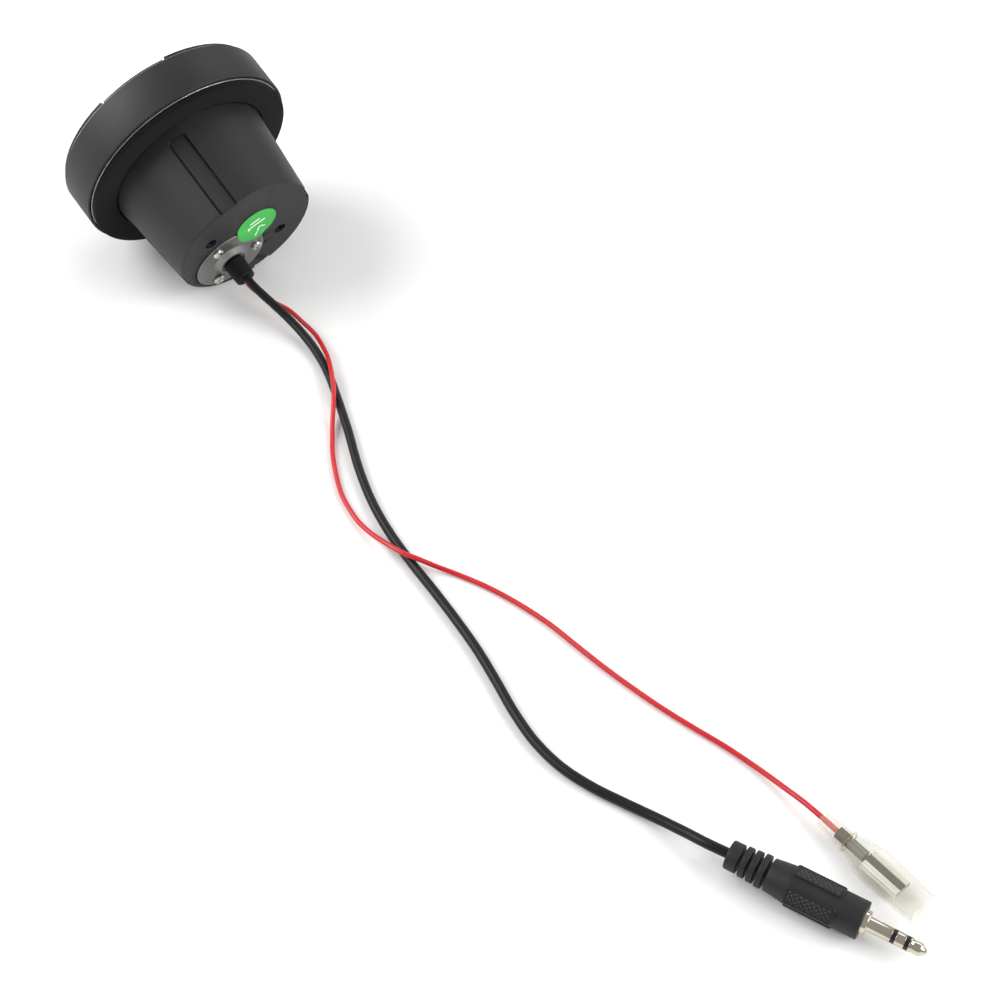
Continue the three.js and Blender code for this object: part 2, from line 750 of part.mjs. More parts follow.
// Groups for what lies at the leads' ends: their +Z runs along the piece, +X points down.
function lyingGroup([x, y], height, heading) {
  const group = new THREE.Group();
  group.position.set(x, y, height);
  group.rotation.set(0, Math.PI / 2, rad(heading), 'ZYX');
  part.add(group);
  return group;
}

// ---- plug on the black lead -------------------------------------------------------------------------------

const plug = lyingGroup(plugStart, gripRadius, plugHeading);
const handleBodyRadius = 4.65;
const collarLength = 3;
const ribGap = 0.7;
const ribLength = 1.5;
const ribRootRadius = 2.75;
const ribRadii = [3.8, 3.95, 4.15];
const gripStart = 15.6;
const gripEnd = 27.8;
const gripSweep = 56;
const gripSunk = 0.6;         // into the handle's body
const gripPhase = -26;        // the plug lies on the edge of one pad

function plugHandle() {
  const profile = [[0, 0], [3.3, 0], [3.6, 0.3], [3.6, collarLength]];
  let z = collarLength;
  for (const radius of ribRadii) {
    profile.push([ribRootRadius, z], [ribRootRadius, z + ribGap]);
    profile.push([radius, z + ribGap], [radius, z + ribGap + ribLength]);
    z += ribGap + ribLength;
  }
  profile.push([ribRootRadius, z], [ribRootRadius, z + ribGap], [4, z + ribGap]);
  profile.push([handleBodyRadius, gripStart], [handleBodyRadius, handleLength], [0, handleLength]);
  const pads = [0, 90, 180, 270].map((angle) =>
    sector(handleBodyRadius - gripSunk, gripRadius, gripPhase + angle, gripSweep, gripStart, gripEnd),
  );
  return join(turned(profile, leadSegments), ...pads);
}
piece('plug_handle', plugHandle(), finishes.blackAbs, plug);

const collarFront = handleLength + gap + 0.9;
piece('plug_collar', disc(2.85, handleLength + gap, collarFront, smallSegments), finishes.nickel, plug);

// contacts and the two insulating rings between them, one after another along the jack
const insulatorLength = 0.5;
const insulatorGap = 0.25;
let jackZ = collarFront + gap;
function jackStep(name, length, material, radius = jackRadius) {
  piece(name, disc(radius, jackZ, jackZ + length, smallSegments), material, plug);
  jackZ += length + insulatorGap;
}
jackStep('jack_sleeve', 5.4, finishes.nickel);
jackStep('jack_insulator_1', insulatorLength, finishes.blackAbs, jackRadius - 0.05);
jackStep('jack_ring', 2.2, finishes.nickel);
jackStep('jack_insulator_2', insulatorLength, finishes.blackAbs, jackRadius - 0.05);
piece(
  'jack_tip',
  turned(
    [[0, 0], [jackRadius, 0], [jackRadius, 0.3], [1.3, 1.5], [1.62, 2.6], [1.5, 3.1], [0.5, 4.2], [0, 4.2]],
    smallSegments,
  ).translate([0, 0, jackZ]),
  finishes.nickel,
  plug,
);

// ---- insulated terminal on the red wire ----------------------------------------------------------------------

const terminal = lyingGroup(sleeveStart, sleeveHalfHeight, sleeveHeading);

// half width and half height of the sleeve's flat oval section along its length
const sleeveOutline = [
  [0, 2, sleeveHalfHeight - 1],
  [5, 2.5, sleeveHalfHeight - 0.7],
  [9.5, 2.8, sleeveHalfHeight - 0.5],
  [12, 3.8, sleeveHalfHeight - 0.2],
  [14, 4.6, sleeveHalfHeight - 0.05],
  [16.5, 5, sleeveHalfHeight],
  [21, 4.95, sleeveHalfHeight],
  [sleeveLength, 4.4, sleeveHalfHeight],
];

// A bar through the outline's stations, smaller by an inset all round.
function ovalBar(inset, extra) {
  const squareness = 0.75;
  const bar = new THREE.CylinderGeometry(1, 1, 1, leadSegments, sleeveOutline.length - 1).rotateX(Math.PI / 2);
  const points = bar.attributes.position;
  const last = sleeveOutline.length - 1;
  for (let i = 0; i < points.count; i += 1) {
    const row = Math.round((points.getZ(i) + 0.5) * last);
    const [z, halfWidth, halfHeight] = sleeveOutline[row];
    const longer = row === 0 ? -extra : row === last ? extra : 0;
    const spread = (value) => Math.sign(value) * Math.abs(value) ** squareness;
    points.setXYZ(
      i,
      spread(points.getX(i)) * (halfHeight - inset),
      spread(points.getY(i)) * (halfWidth - inset),
      z + longer,
    );
  }
  return solid(bar);
}
piece('terminal_sleeve', ovalBar(0, 0).subtract(ovalBar(sleeveWall, 0.01)), finishes.milky, terminal);

// Crimp round the wire, barrel on its strands, and a receptacle with curled edges.
function pushOnTerminal() {
  const crimpBore = redRadius + gap;
  const crimpStart = 5;
  const barrelStart = 8.8;
  const receptacleStart = 14.4;
  const receptacleEnd = 25;
  const metal = 0.35;
  const halfWidth = 2.9;
  const halfHeight = 1.2;
  const lip = 0.5;
  const crimp = tube(crimpBore, crimpBore + metal, crimpStart, barrelStart - 0.6, smallSegments);
  const barrel = disc(1.1, barrelStart, receptacleStart - 0.8, smallSegments);
  const strip = block(metal, 1.6, crimpStart, receptacleStart + 1, crimpBore + metal / 2, 0);
  const shell = block(2 * halfHeight, 2 * halfWidth, receptacleStart, receptacleEnd);
  const inside = block(2 * halfHeight - 2 * lip, 2 * halfWidth - 2 * lip, receptacleStart - 1, receptacleEnd + 1);
  const seam = block(halfHeight, 2 * lip, receptacleStart - 1, receptacleEnd + 1, -halfHeight, 0);
  return join(cut(shell, inside, seam), crimp, barrel, strip);
}
piece('push_on_terminal', pushOnTerminal(), finishes.steel, terminal);

// ---- rest on the surface, with the unit centred over the origin ------------------------------------------------

const unitBox = new THREE.Box3().setFromObject(unit, true);
unit.position.x = -(unitBox.min.x + unitBox.max.x) / 2;
unit.position.z = -unitBox.min.z;

export default part;
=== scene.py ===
import json
import math

import bmesh
import bpy
import numpy as np
from mathutils import Matrix, Vector
from mathutils.geometry import delaunay_2d_cdt


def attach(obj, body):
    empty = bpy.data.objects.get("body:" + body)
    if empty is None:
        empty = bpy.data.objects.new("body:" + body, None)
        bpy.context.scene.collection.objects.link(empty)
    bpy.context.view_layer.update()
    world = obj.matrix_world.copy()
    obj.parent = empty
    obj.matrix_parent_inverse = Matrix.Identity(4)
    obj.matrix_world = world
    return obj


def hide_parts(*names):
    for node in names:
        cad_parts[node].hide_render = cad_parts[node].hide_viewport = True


# Round panel-mount wired remote control, lying on its side with its back to the viewer,
# with a jack plug on a black lead and an insulated push-on terminal on a red wire.
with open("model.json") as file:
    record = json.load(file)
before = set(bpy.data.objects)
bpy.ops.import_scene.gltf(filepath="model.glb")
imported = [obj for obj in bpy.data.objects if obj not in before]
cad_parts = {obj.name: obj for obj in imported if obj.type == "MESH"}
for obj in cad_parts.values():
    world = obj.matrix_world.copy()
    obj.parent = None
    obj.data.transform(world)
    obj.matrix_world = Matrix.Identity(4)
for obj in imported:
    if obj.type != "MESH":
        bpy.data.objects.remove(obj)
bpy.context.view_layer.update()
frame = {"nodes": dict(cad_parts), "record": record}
scene = bpy.context.scene

# ---- camera --------------------------------------------------------------------------
# A long lens that looks down over the plug's end of the leads, 49 degrees above the
# surface that everything lies on.
camera = bpy.data.objects.new("camera", bpy.data.cameras.new("camera"))
camera.data.sensor_width = 36
camera.data.lens = 62.72
camera.data.clip_start = 0.01
camera.location = (0.38621, -0.20056, 0.36446)
camera.rotation_euler = Vector((-0.50858, 0.42068, -0.75125)).to_track_quat("-Z", "Y").to_euler()
scene.collection.objects.link(camera)
scene.camera = camera

# ---- black lead ----------------------------------------------------------------------
# Round two-core screened lead with a soft black PVC sheath, extruded, 2.6 mm thick. It
# comes out of the gland, sinks to the surface, and lies there in two loose curves.


def linear(hex_colour):
    """sRGB hex colour as the linear colour that a shader takes."""
    values = [int(hex_colour[i : i + 2], 16) / 255 for i in (1, 3, 5)]
    return tuple(v / 12.92 if v <= 0.04045 else ((v + 0.055) / 1.055) ** 2.4 for v in values) + (1,)


def add_node(tree, kind, settings={}, inputs={}):
    """Adds a node, sets its settings, and sets or links its inputs by name or number."""
    node = tree.nodes.new(kind)
    for name, value in settings.items():
        setattr(node, name, value)
    for name, value in inputs.items():
        if isinstance(value, bpy.types.NodeSocket):
            tree.links.new(value, node.inputs[name])
        else:
            node.inputs[name].default_value = value
    return node


def new_finish(name, shader_values):
    """A material with a Principled shader that has these values, its tree and its shader."""
    material = bpy.data.materials.new(name)
    material.use_nodes = True
    tree = material.node_tree
    tree.nodes.clear()
    shader = add_node(tree, "ShaderNodeBsdfPrincipled", inputs=shader_values)
    add_node(tree, "ShaderNodeOutputMaterial", inputs={"Surface": shader.outputs["BSDF"]})
    return material, tree, shader


def textured(name, shader_values, colours, grain_mm, relief_mm, roughness, stretch=(1, 1, 1), turn=(0, 0, 0)):
    """A finish whose colour and roughness drift over some millimetres, with a fine grain in
    relief. Stretch lengthens the grain along X, Y or Z, after the pattern is turned."""
    material, tree, shader = new_finish(name, shader_values)
    place = add_node(tree, "ShaderNodeTexCoord").outputs["Object"]
    place = add_node(tree, "ShaderNodeMapping", inputs={"Vector": place, "Rotation": turn}).outputs["Vector"]
    along = add_node(tree, "ShaderNodeMapping", inputs={"Vector": place, "Scale": [1 / s for s in stretch]})
    drift = add_node(
        tree, "ShaderNodeTexNoise", inputs={"Vector": place, "Scale": 1 / 0.009, "Detail": 4.0, "Roughness": 0.6}
    )
    grain = add_node(
        tree,
        "ShaderNodeTexNoise",
        inputs={"Vector": along.outputs["Vector"], "Scale": 1000 / grain_mm, "Detail": 3.0, "Roughness": 0.6},
    )
    both = add_node(
        tree,
        "ShaderNodeMath",
        {"operation": "MULTIPLY_ADD"},
        {0: grain.outputs["Fac"], 1: 0.55, 2: drift.outputs["Fac"]},
    )
    spread = add_node(
        tree, "ShaderNodeMapRange", inputs={"Value": both.outputs[0], "From Min": 0.5, "From Max": 1.05}
    ).outputs["Result"]
    shade = add_node(
        tree,
        "ShaderNodeMix",
        {"data_type": "RGBA"},
        {"Factor": spread, 6: linear(colours[0]), 7: linear(colours[1])},
    )
    tree.links.new(shade.outputs[2], shader.inputs["Base Color"])
    dull = add_node(
        tree, "ShaderNodeMapRange", inputs={"Value": spread, "To Min": roughness[0], "To Max": roughness[1]}
    )
    tree.links.new(dull.outputs["Result"], shader.inputs["Roughness"])
    relief = add_node(
        tree,
        "ShaderNodeBump",
        inputs={"Height": grain.outputs["Fac"], "Distance": relief_mm / 1000, "Strength": 1.0},
    )
    tree.links.new(relief.outputs["Normal"], shader.inputs["Normal"])
    return material


def smooth_route(points_mm, steps):
    """Centripetal Catmull-Rom curve through points in millimetres, as points in metres."""
    points = np.array(points_mm, float) / 1000
    points = np.vstack([2 * points[0] - points[1], points, 2 * points[-1] - points[-2]])
    knots = np.concatenate([[0], np.cumsum(np.linalg.norm(np.diff(points, axis=0), axis=1) ** 0.5)])
    between = lambda a, b, start, end, t: a + (b - a) * (t - start) / (end - start)
    route = []
    for i in range(1, len(points) - 2):
        p, k = points[i - 1 : i + 3], knots[i - 1 : i + 3]
        for t in np.linspace(k[1], k[2], steps, endpoint=False):
            a = [between(p[j], p[j + 1], k[j], k[j + 1], t) for j in range(3)]
            b = [between(a[j], a[j + 1], k[j], k[j + 2], t) for j in range(2)]
            route.append(between(b[0], b[1], k[1], k[2], t))
    route.append(points[-2])
    return np.array(route)


def cable(name, route, radius, material):
    """A round cable along a route in metres, as a curve of one open spline."""
    curve = bpy.data.curves.new(name, "CURVE")
    curve.dimensions = "3D"
    curve.bevel_depth = radius
    curve.bevel_resolution = 5
    curve.use_fill_caps = True
    spline = curve.splines.new("POLY")
    spline.points.add(len(route) - 1)
    for point, place in zip(spline.points, route):
        point.co = (*place, 1)
    curve.materials.append(material)
    piece = bpy.data.objects.new(name, curve)
    scene.collection.objects.link(piece)
    return piece


# PVC sheath: near black, satin, with a very fine extruded grain along it
black_sheath = textured(
    "black PVC sheath, extruded", {"IOR": 1.53, "Specular IOR Level": 0.26}, ("#0a0a0b", "#111112"),
    grain_mm=0.35, relief_mm=0.012, roughness=(0.38, 0.5),
)
black_route = smooth_route(
    [
        (28.8, -4.9, 11.6), (31.6, -4.8, 10.5), (35.4, -3.9, 8.6), (40.4, -2.4, 6), (45.8, -1.4, 3.9),
        (51.8, -1.2, 2.5), (58.3, -1.8, 1.7), (65.1, -3.3, 1.4), (71.3, -5.3, 1.35), (78.1, -8, 1.35),
        (86.7, -11.6, 1.35), (93.1, -14.4, 1.35), (105.6, -20.2, 1.35), (118.1, -24.9, 1.35),
        (130.3, -28, 1.35), (143.3, -30, 1.35), (154.8, -31.3, 1.35), (165.9, -32.8, 1.35),
        (176.6, -34.6, 1.35), (187.2, -37.1, 1.35), (197.4, -39.7, 1.35), (207.4, -41.3, 1.35),
        (216.9, -41.1, 1.35), (225.8, -39.1, 1.35), (234, -36.2, 1.45), (242.3, -33.3, 2),
        (250.5, -31.2, 3.5), (256, -30.1, 4.8), (261.2, -28.3, 5.15),
    ],
    steps=8,
)
black_lead = cable("black_cable", black_route, 0.0013, black_sheath)
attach(black_lead, "unit")
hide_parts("black_lead")

# ---- red wire ------------------------------------------------------------------------
# Single stranded supply wire, 1.4 mm over its red PVC insulation. It leaves the gland
# with the black lead, crosses over it twice in low humps, and ends in the terminal.

# PVC insulation: saturated red, glossier than the sheath
red_insulation = textured(
    "red PVC insulation, extruded",
    {"IOR": 1.53, "Specular IOR Level": 0.5, "Subsurface Weight": 0.05, "Subsurface Radius": (0.001, 0.0003, 0.0002)},
    ("#b80d18", "#cb1722"),
    grain_mm=0.5, relief_mm=0.006, roughness=(0.3, 0.4),
)
red_route = smooth_route(
    [
        (28, -4.9, 9.4), (30.9, -4.6, 8.3), (36, -2, 5.6), (41, 1.1, 3.4), (46.9, 2, 2.1), (53.6, 2, 1.7),
        (61.6, -0.2, 2.6), (66.6, -2.2, 3.4), (72.3, -5.2, 3.8), (77.4, -8.2, 3.8), (80.3, -10.3, 3.7),
        (82.5, -12, 3.2), (86, -15, 1.7), (91.3, -19, 0.8), (97.1, -23, 0.75), (109.3, -29.2, 0.75),
        (115.9, -31.1, 0.8), (121.9, -32.1, 1), (128.3, -32.2, 1.8), (134.5, -31.8, 3.2), (140.1, -30.7, 3.8),
        (144.4, -28.4, 3.3), (147.9, -25.8, 1.8), (152.1, -23.1, 0.85), (161.4, -19.2, 0.75),
        (171.2, -16.4, 0.75), (181.2, -14.5, 0.75), (191.4, -13.6, 0.75), (201.3, -12.7, 0.75),
        (210.9, -11.4, 0.75), (220.3, -9.8, 0.75), (229.3, -7.8, 0.75), (238, -5.7, 0.75), (246.9, -4.2, 0.9),
        (255.9, -3.4, 1.6), (262, -3.2, 2.5), (268.1, -3.2, 3), (276.5, -3.1, 3),
    ],
    steps=8,
)
red_wire = cable("red_supply_wire", red_route, 0.0007, red_insulation)
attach(red_wire, "unit")
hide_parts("red_wire")

# ---- moulded rear case ---------------------------------------------------------------
# Injection-moulded black ABS cup that the electronics sit in. It tapers to the back, has
# four shallow guide slots for a clamp bracket, two stud holes, and a round pocket for the
# gland's plate. Its mould was spark-eroded, which leaves a fine even grain.

# The unit's own millimetres: Z is its axis from the bezel's front edge to the back, X is
# the row's +Y, and Y points up. Its place comes from the record's mount on the gasket.
gasket_seat = frame["record"]["mounts"][0]
unit_axis = Vector(gasket_seat["axis"]).normalized()
unit_side = Vector((0, 1, 0))
unit_up = unit_axis.cross(unit_side)
seat_aside, seat_depth = 0.030, 0.0152  # the mount's point, from the front edge's middle
unit_origin = Vector(gasket_seat["pos_m"]) - seat_aside * unit_side - seat_depth * unit_axis
unit_mm = Matrix.Translation(unit_origin) @ (
    Matrix((unit_side, unit_up, unit_axis)).transposed().to_4x4() @ Matrix.Scale(0.001, 4)
)
unit_turn = Matrix((unit_side, unit_up, unit_axis)).to_euler()  # turns a pattern to the unit's axis


def new_piece(name, points, faces, place, *materials, sharp=35):
    """A mesh from points in millimetres, put in its place, with its faces outwards and
    smooth except at edges sharper than so many degrees."""
    mesh = bpy.data.meshes.new(name)
    mesh.from_pydata([tuple(map(float, p)) for p in points], [], faces)
    mesh.transform(place)
    tidy = bmesh.new()
    tidy.from_mesh(mesh)
    bmesh.ops.remove_doubles(tidy, verts=tidy.verts, dist=2e-6)
    bmesh.ops.dissolve_degenerate(tidy, edges=tidy.edges, dist=1e-7)
    bmesh.ops.recalc_face_normals(tidy, faces=tidy.faces)
    tidy.to_mesh(mesh)
    tidy.free()
    mesh.shade_smooth()
    mesh.set_sharp_from_angle(angle=math.radians(sharp))
    for material in materials:
        mesh.materials.append(material)
    piece = bpy.data.objects.new(name, mesh)
    scene.collection.objects.link(piece)
    return piece


def stands_for(piece, body, slot_name, *nodes):
    """Says which body a piece moves with and the CAD nodes it is seen in place of; its slot name is not used."""
    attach(piece, body)
    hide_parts(*nodes)
    return piece


def grid_faces(rows, columns, first=0, close_rows=False):
    """Quads between rows of points that each go round once."""
    faces = []
    for i in range(rows if close_rows else rows - 1):
        a, b = first + i * columns, first + ((i + 1) % rows) * columns
        for j in range(columns):
            k = (j + 1) % columns
            faces.append((a + j, a + k, b + k, b + j))
    return faces


def fan(middle, first, count):
    """Triangles from a middle point to a row of points that goes round once."""
    return [(middle, first + j, first + (j + 1) % count) for j in range(count)]


def softened(corners, closed):
    """A profile of (radius, z) or (radius, z, fillet) corners with its fillets drawn."""
    out = []
    count = len(corners)
    for i, corner in enumerate(corners):
        fillet = corner[2] if len(corner) > 2 else 0
        here = np.array(corner[:2], float)
        if not fillet or (not closed and i in (0, count - 1)):
            out.append(here)
            continue
        back, ahead = (np.array(corners[(i + d) % count][:2], float) - here for d in (-1, 1))
        short = min(np.linalg.norm(back), np.linalg.norm(ahead))
        back, ahead = back / np.linalg.norm(back), ahead / np.linalg.norm(ahead)
        half = math.acos(np.clip(back @ ahead, -1, 1)) / 2
        reach = min(fillet / math.tan(half), 0.48 * short)
        radius = reach * math.tan(half)
        middle = here + (back + ahead) / np.linalg.norm(back + ahead) * radius / math.sin(half)
        start, end = here + back * reach - middle, here + ahead * reach - middle
        swing = math.pi - 2 * half
        steps = max(2, int(swing / 0.35))
        for t in np.linspace(0, 1, steps + 1):
            out.append(middle + (math.sin((1 - t) * swing) * start + math.sin(t * swing) * end) / math.sin(swing))
    return np.array(out)


def turned(name, corners, place, *materials, segments=192, sharp=35):
    """A turned piece. A profile that starts and ends on the axis is closed there, and any
    other profile closes on itself."""
    on_axis = corners[0][0] == 0 and corners[-1][0] == 0
    profile = softened(corners, closed=not on_axis)
    angles = np.arange(segments) * 2 * math.pi / segments
    ring = profile[1:-1] if on_axis else profile
    points = [(r * math.cos(a), r * math.sin(a), z) for r, z in ring for a in angles]
    faces = grid_faces(len(ring), segments, close_rows=not on_axis)
    if on_axis:
        for pole, row in ((profile[0], 0), (profile[-1], len(ring) - 1)):
            points.append((0, 0, pole[1]))
            faces += fan(len(points) - 1, row * segments, segments)
    return new_piece(name, points, faces, place, *materials, sharp=sharp)


def flat_fill(outline, holes, z):
    """Triangles over a flat outline less its round holes (x, y, radius, sides), as points
    and faces; the holes' edges are the circles that their walls start from."""
    loops = [np.array(outline)] + [circle(*hole) for hole in holes]
    flat = np.vstack(loops)
    edges, first = [], 0
    for loop in loops:
        edges += [(first + i, first + (i + 1) % len(loop)) for i in range(len(loop))]
        first += len(loop)
    corners, _, triangles, *_ = delaunay_2d_cdt([Vector(p) for p in flat], edges, [], 0, 1e-6)
    corners = np.array(corners)
    kept = []
    x, y = np.array(outline)[:, 0], np.array(outline)[:, 1]
    x2, y2 = np.roll(x, -1), np.roll(y, -1)
    for triangle in triangles:
        middle = corners[list(triangle)].mean(0)
        if any(math.hypot(middle[0] - hole[0], middle[1] - hole[1]) < hole[2] * 0.999 for hole in holes):
            continue
        crossings = ((y > middle[1]) != (y2 > middle[1])) & (
            middle[0] < (x2 - x) * (middle[1] - y) / np.where(y2 == y, 1e-12, y2 - y) + x
        )
        if crossings.sum() % 2:
            kept.append(tuple(triangle))
    return [(px, py, z) for px, py in corners], kept


def circle(x, y, radius, sides):
    angles = np.arange(sides) * 2 * math.pi / sides
    return np.stack([x + radius * np.cos(angles), y + radius * np.sin(angles)], 1)


def polar(radius, degrees):
    return radius * math.cos(math.radians(degrees)), radius * math.sin(math.radians(degrees))


def with_even_normals(piece):
    """Lets each vertex take its normal from its largest faces, so that flats stay flat
    right up to their rounded edges."""
    even = piece.modifiers.new("even", "WEIGHTED_NORMAL")
    even.keep_sharp = True
    even.weight = 100
    bpy.context.view_layer.update()
    mesh = bpy.data.meshes.new_from_object(piece.evaluated_get(bpy.context.evaluated_depsgraph_get()))
    piece.modifiers.clear()
    piece.data = mesh
    return piece


# ABS from a spark-eroded mould: charcoal black, matte, with an even fine grain
moulded_abs = textured(
    "black ABS, spark-eroded mould", {"IOR": 1.52, "Specular IOR Level": 0.42}, ("#151516", "#1d1d1e"),
    grain_mm=0.4, relief_mm=0.02, roughness=(0.5, 0.6),
)

case_back, case_flange_rear, gasket_rear = 44.7, 12.55, 15.2
case_radius_back, case_radius_gasket = 23, 25.8
cavity_back, cavity_radius_back, cavity_radius_front = 41.5, 20.4, 24.1
flange_front, flange_radius = 11.05, 34
slot_angles = (22, 112, 202, 292)
slot_width, slot_depth, slot_corner, slot_front = 6.1, 0.9, 1.5, 17.8
wall_run, witness_depth, witness_inset, witness_half_width = 0.14, 0.3, 0.3, 0.17
gland_x, gland_y = polar(9.6, -121)
stud_places = [polar(14.2, -23), polar(14.2, 157)]


def case_radius(z):
    return case_radius_back + (case_back - z) * (case_radius_gasket - case_radius_back) / (case_back - gasket_rear)


def slot_relief(across, z):
    """How deep the case's skin lies under its cone, beside and in a slot. Each slot has a
    narrow witness line round its floor, where the mould's insert met the cavity."""
    qx = np.abs(across) - (slot_width / 2 - slot_corner)
    qz = (slot_front + slot_corner) - z + np.zeros_like(qx)
    inside = np.hypot(np.maximum(qx, 0), np.maximum(qz, 0)) + np.minimum(np.maximum(qx, qz), 0) - slot_corner
    wall = np.clip(-inside / wall_run, 0, 1)
    line = np.clip(1 - np.abs(inside + witness_inset) / witness_half_width, 0, 1)
    return slot_depth * wall + witness_depth * line


# The columns are closest round each slot's edges, where the skin bends.
near_edge = np.concatenate([np.arange(0, 1.3, 0.4), np.arange(1.45, 3.7, 0.1)])
across_slot = np.concatenate([-near_edge[:0:-1], near_edge])
mean_case_radius = 24.4
columns = []
for angle in slot_angles:
    spread = across_slot / mean_case_radius
    columns += list(math.radians(angle) + spread)
    start, end = math.radians(angle) + spread[-1], math.radians(angle + 90) + spread[0]
    columns += list(np.linspace(start, end, 26)[1:-1])
columns = np.array(columns)
off_slot = (columns - math.radians(slot_angles[0]) + math.pi / 4) % (math.pi / 2) - math.pi / 4

edge_round = 0.35
outer_rows = [(z, 0) for z in (case_flange_rear, 13.4, gasket_rear, 16.2, 17.2)]
outer_rows += [(z, 0) for z in np.arange(17.4, 19.9, 0.1)]
outer_rows += [(z, 0) for z in (21, 24, 28, 32, 36, 40, 43, case_back - edge_round)]
outer_rows += [
    (case_back - edge_round * (1 - math.sin(t)), edge_round * (1 - math.cos(t)))
    for t in np.linspace(0, math.pi / 2, 5)[1:]
]


def round_row(radius, z):
    return [(r * math.cos(a), r * math.sin(a), z) for r, a in zip(np.broadcast_to(radius, columns.shape), columns)]


case_points = round_row(cavity_radius_back, cavity_back) + round_row(cavity_radius_front, flange_front)
case_points += round_row(flange_radius, flange_front) + round_row(flange_radius, case_flange_rear)
outline = None
for z, inset in outer_rows:
    radius = case_radius(z) - slot_relief(off_slot * case_radius(z), z) - inset
    outline = round_row(radius, z)
    case_points += outline
rows = 4 + len(outer_rows)
case_faces = grid_faces(rows, len(columns))
inner_back = len(case_points)
case_points.append((0, 0, cavity_back))
case_faces += fan(inner_back, 0, len(columns))

stud_hole, pocket = (1.95, 48, 39.3), (12.3, 128, 43.9)
back_holes = [(*place, *stud_hole) for place in stud_places] + [(gland_x, gland_y, *pocket)]
lead_in = 0.15
fill_points, fill_faces = flat_fill(
    np.array(outline)[:, :2], [(x, y, radius + lead_in, sides) for x, y, radius, sides, _ in back_holes], case_back
)
first = len(case_points)
case_points += fill_points
case_faces += [tuple(first + i for i in face) for face in fill_faces]
for x, y, radius, sides, floor_z in back_holes:
    first = len(case_points)
    for reach, z in ((lead_in, case_back), (0, case_back - lead_in), (0, floor_z)):
        case_points += [(px, py, z) for px, py in circle(x, y, radius + reach, sides)]
    case_points.append((x, y, floor_z))
    case_faces += grid_faces(3, sides, first)
    case_faces += fan(len(case_points) - 1, first + 2 * sides, sides)
rear_case = with_even_normals(
    new_piece("moulded_rear_case", case_points, case_faces, unit_mm, moulded_abs, sharp=32)
)
stands_for(rear_case, "unit", "moulded_case", "rear_case")

# Threaded steel sleeve in each stud hole, blacked, set half a millimetre deep.
blacked_steel = textured(
    "steel, black oxide", {"Metallic": 1.0}, ("#17181a", "#26272a"),
    grain_mm=0.3, relief_mm=0.01, roughness=(0.35, 0.5),
)
for i, (x, y) in enumerate(stud_places):
    top = case_back - 0.5
    thread = []
    for k in range(9):
        z = top - 0.35 - 0.5 * k
        thread += [(1.1, z), (1.32, z - 0.25)]
    insert = turned(
        f"threaded_insert_{i + 1}",
        [(1.65, top - 4.6), (1.65, top, 0.1), (1.3, top)] + thread + [(1.1, top - 4.6)],
        unit_mm @ Matrix.Translation((x, y, 0)),
        blacked_steel,
        segments=48,
        sharp=25,
    )
    stands_for(insert, "unit", "dark_steel", f"stud_insert_{i + 1}")

# ---- bezel ring ----------------------------------------------------------------------
# Black ABS ring, 70 mm outside, that carries the front face in a lip. Its front edge has a
# narrow diamond-cut chamfer that shows bright metal plating under the black.
# Diamond-cut metal: a clean bright line where it catches the light
chamfer_metal = textured(
    "diamond-cut chamfer, bright", {"Metallic": 1.0}, ("#c9cacb", "#dedfe0"),
    grain_mm=0.4, relief_mm=0.004, roughness=(0.22, 0.3),
)
bezel = turned(
    "bezel_outer_ring",
    [
        (34.3, 0, 0.1), (34.65, 0), (34.93, 0.28), (35, 0.5), (35, 13, 0.3), (34.3, 13, 0.15),
        (34.3, 3.2), (32, 3.2), (32, 1.9), (34.3, 1.9),
    ],
    unit_mm,
    moulded_abs,
    chamfer_metal,
    segments=256,
)
to_unit = unit_mm.inverted()
for face in bezel.data.polygons:
    place = to_unit @ face.center
    if place.z < 0.29 and 34.6 < math.hypot(place.x, place.y):
        face.material_index = 1
stands_for(bezel, "unit", "moulded_case", "bezel_ring")

# ---- flange plate and panel gasket ---------------------------------------------------
# A thin aluminium plate stiffens the case's flange and shows as a bright line. Behind it
# lies a closed-cell foam gasket that seals against the panel.

# Aluminium, blanked and left satin
satin_aluminium = textured(
    "aluminium, blanked, satin", {"Metallic": 1.0}, ("#d2d3d4", "#e6e7e8"),
    grain_mm=0.3, relief_mm=0.006, roughness=(0.3, 0.42),
)
plate = turned(
    "flange_stiffener", [(26.33, 12.85), (34, 12.85, 0.08), (34, 13.35, 0.08), (26.33, 13.35)],
    unit_mm, satin_aluminium, segments=256,
)
stands_for(plate, "unit", "plate_metal", "flange_plate")

# Closed-cell EPDM foam: dead black, with its skin's faint pebbling
foam = textured(
    "EPDM foam, closed cell, skinned",
    {"IOR": 1.5, "Specular IOR Level": 0.12, "Sheen Weight": 0.04, "Sheen Roughness": 0.6},
    ("#060607", "#0d0d0e"),
    grain_mm=0.5, relief_mm=0.04, roughness=(0.85, 0.95),
)
gasket = turned(
    "panel_seal_gasket", [(26.33, 13.65), (34, 13.65, 0.2), (34, 15.2, 0.3), (26.33, 15.2, 0.2)],
    unit_mm, foam, segments=256,
)
stands_for(gasket, "unit", "foam", "panel_gasket")

# ---- front face ----------------------------------------------------------------------
# Round moulded face snapped into the bezel's lip, with a window for each rim key and a
# hole in the middle. Four low lands stand between the rim keys.


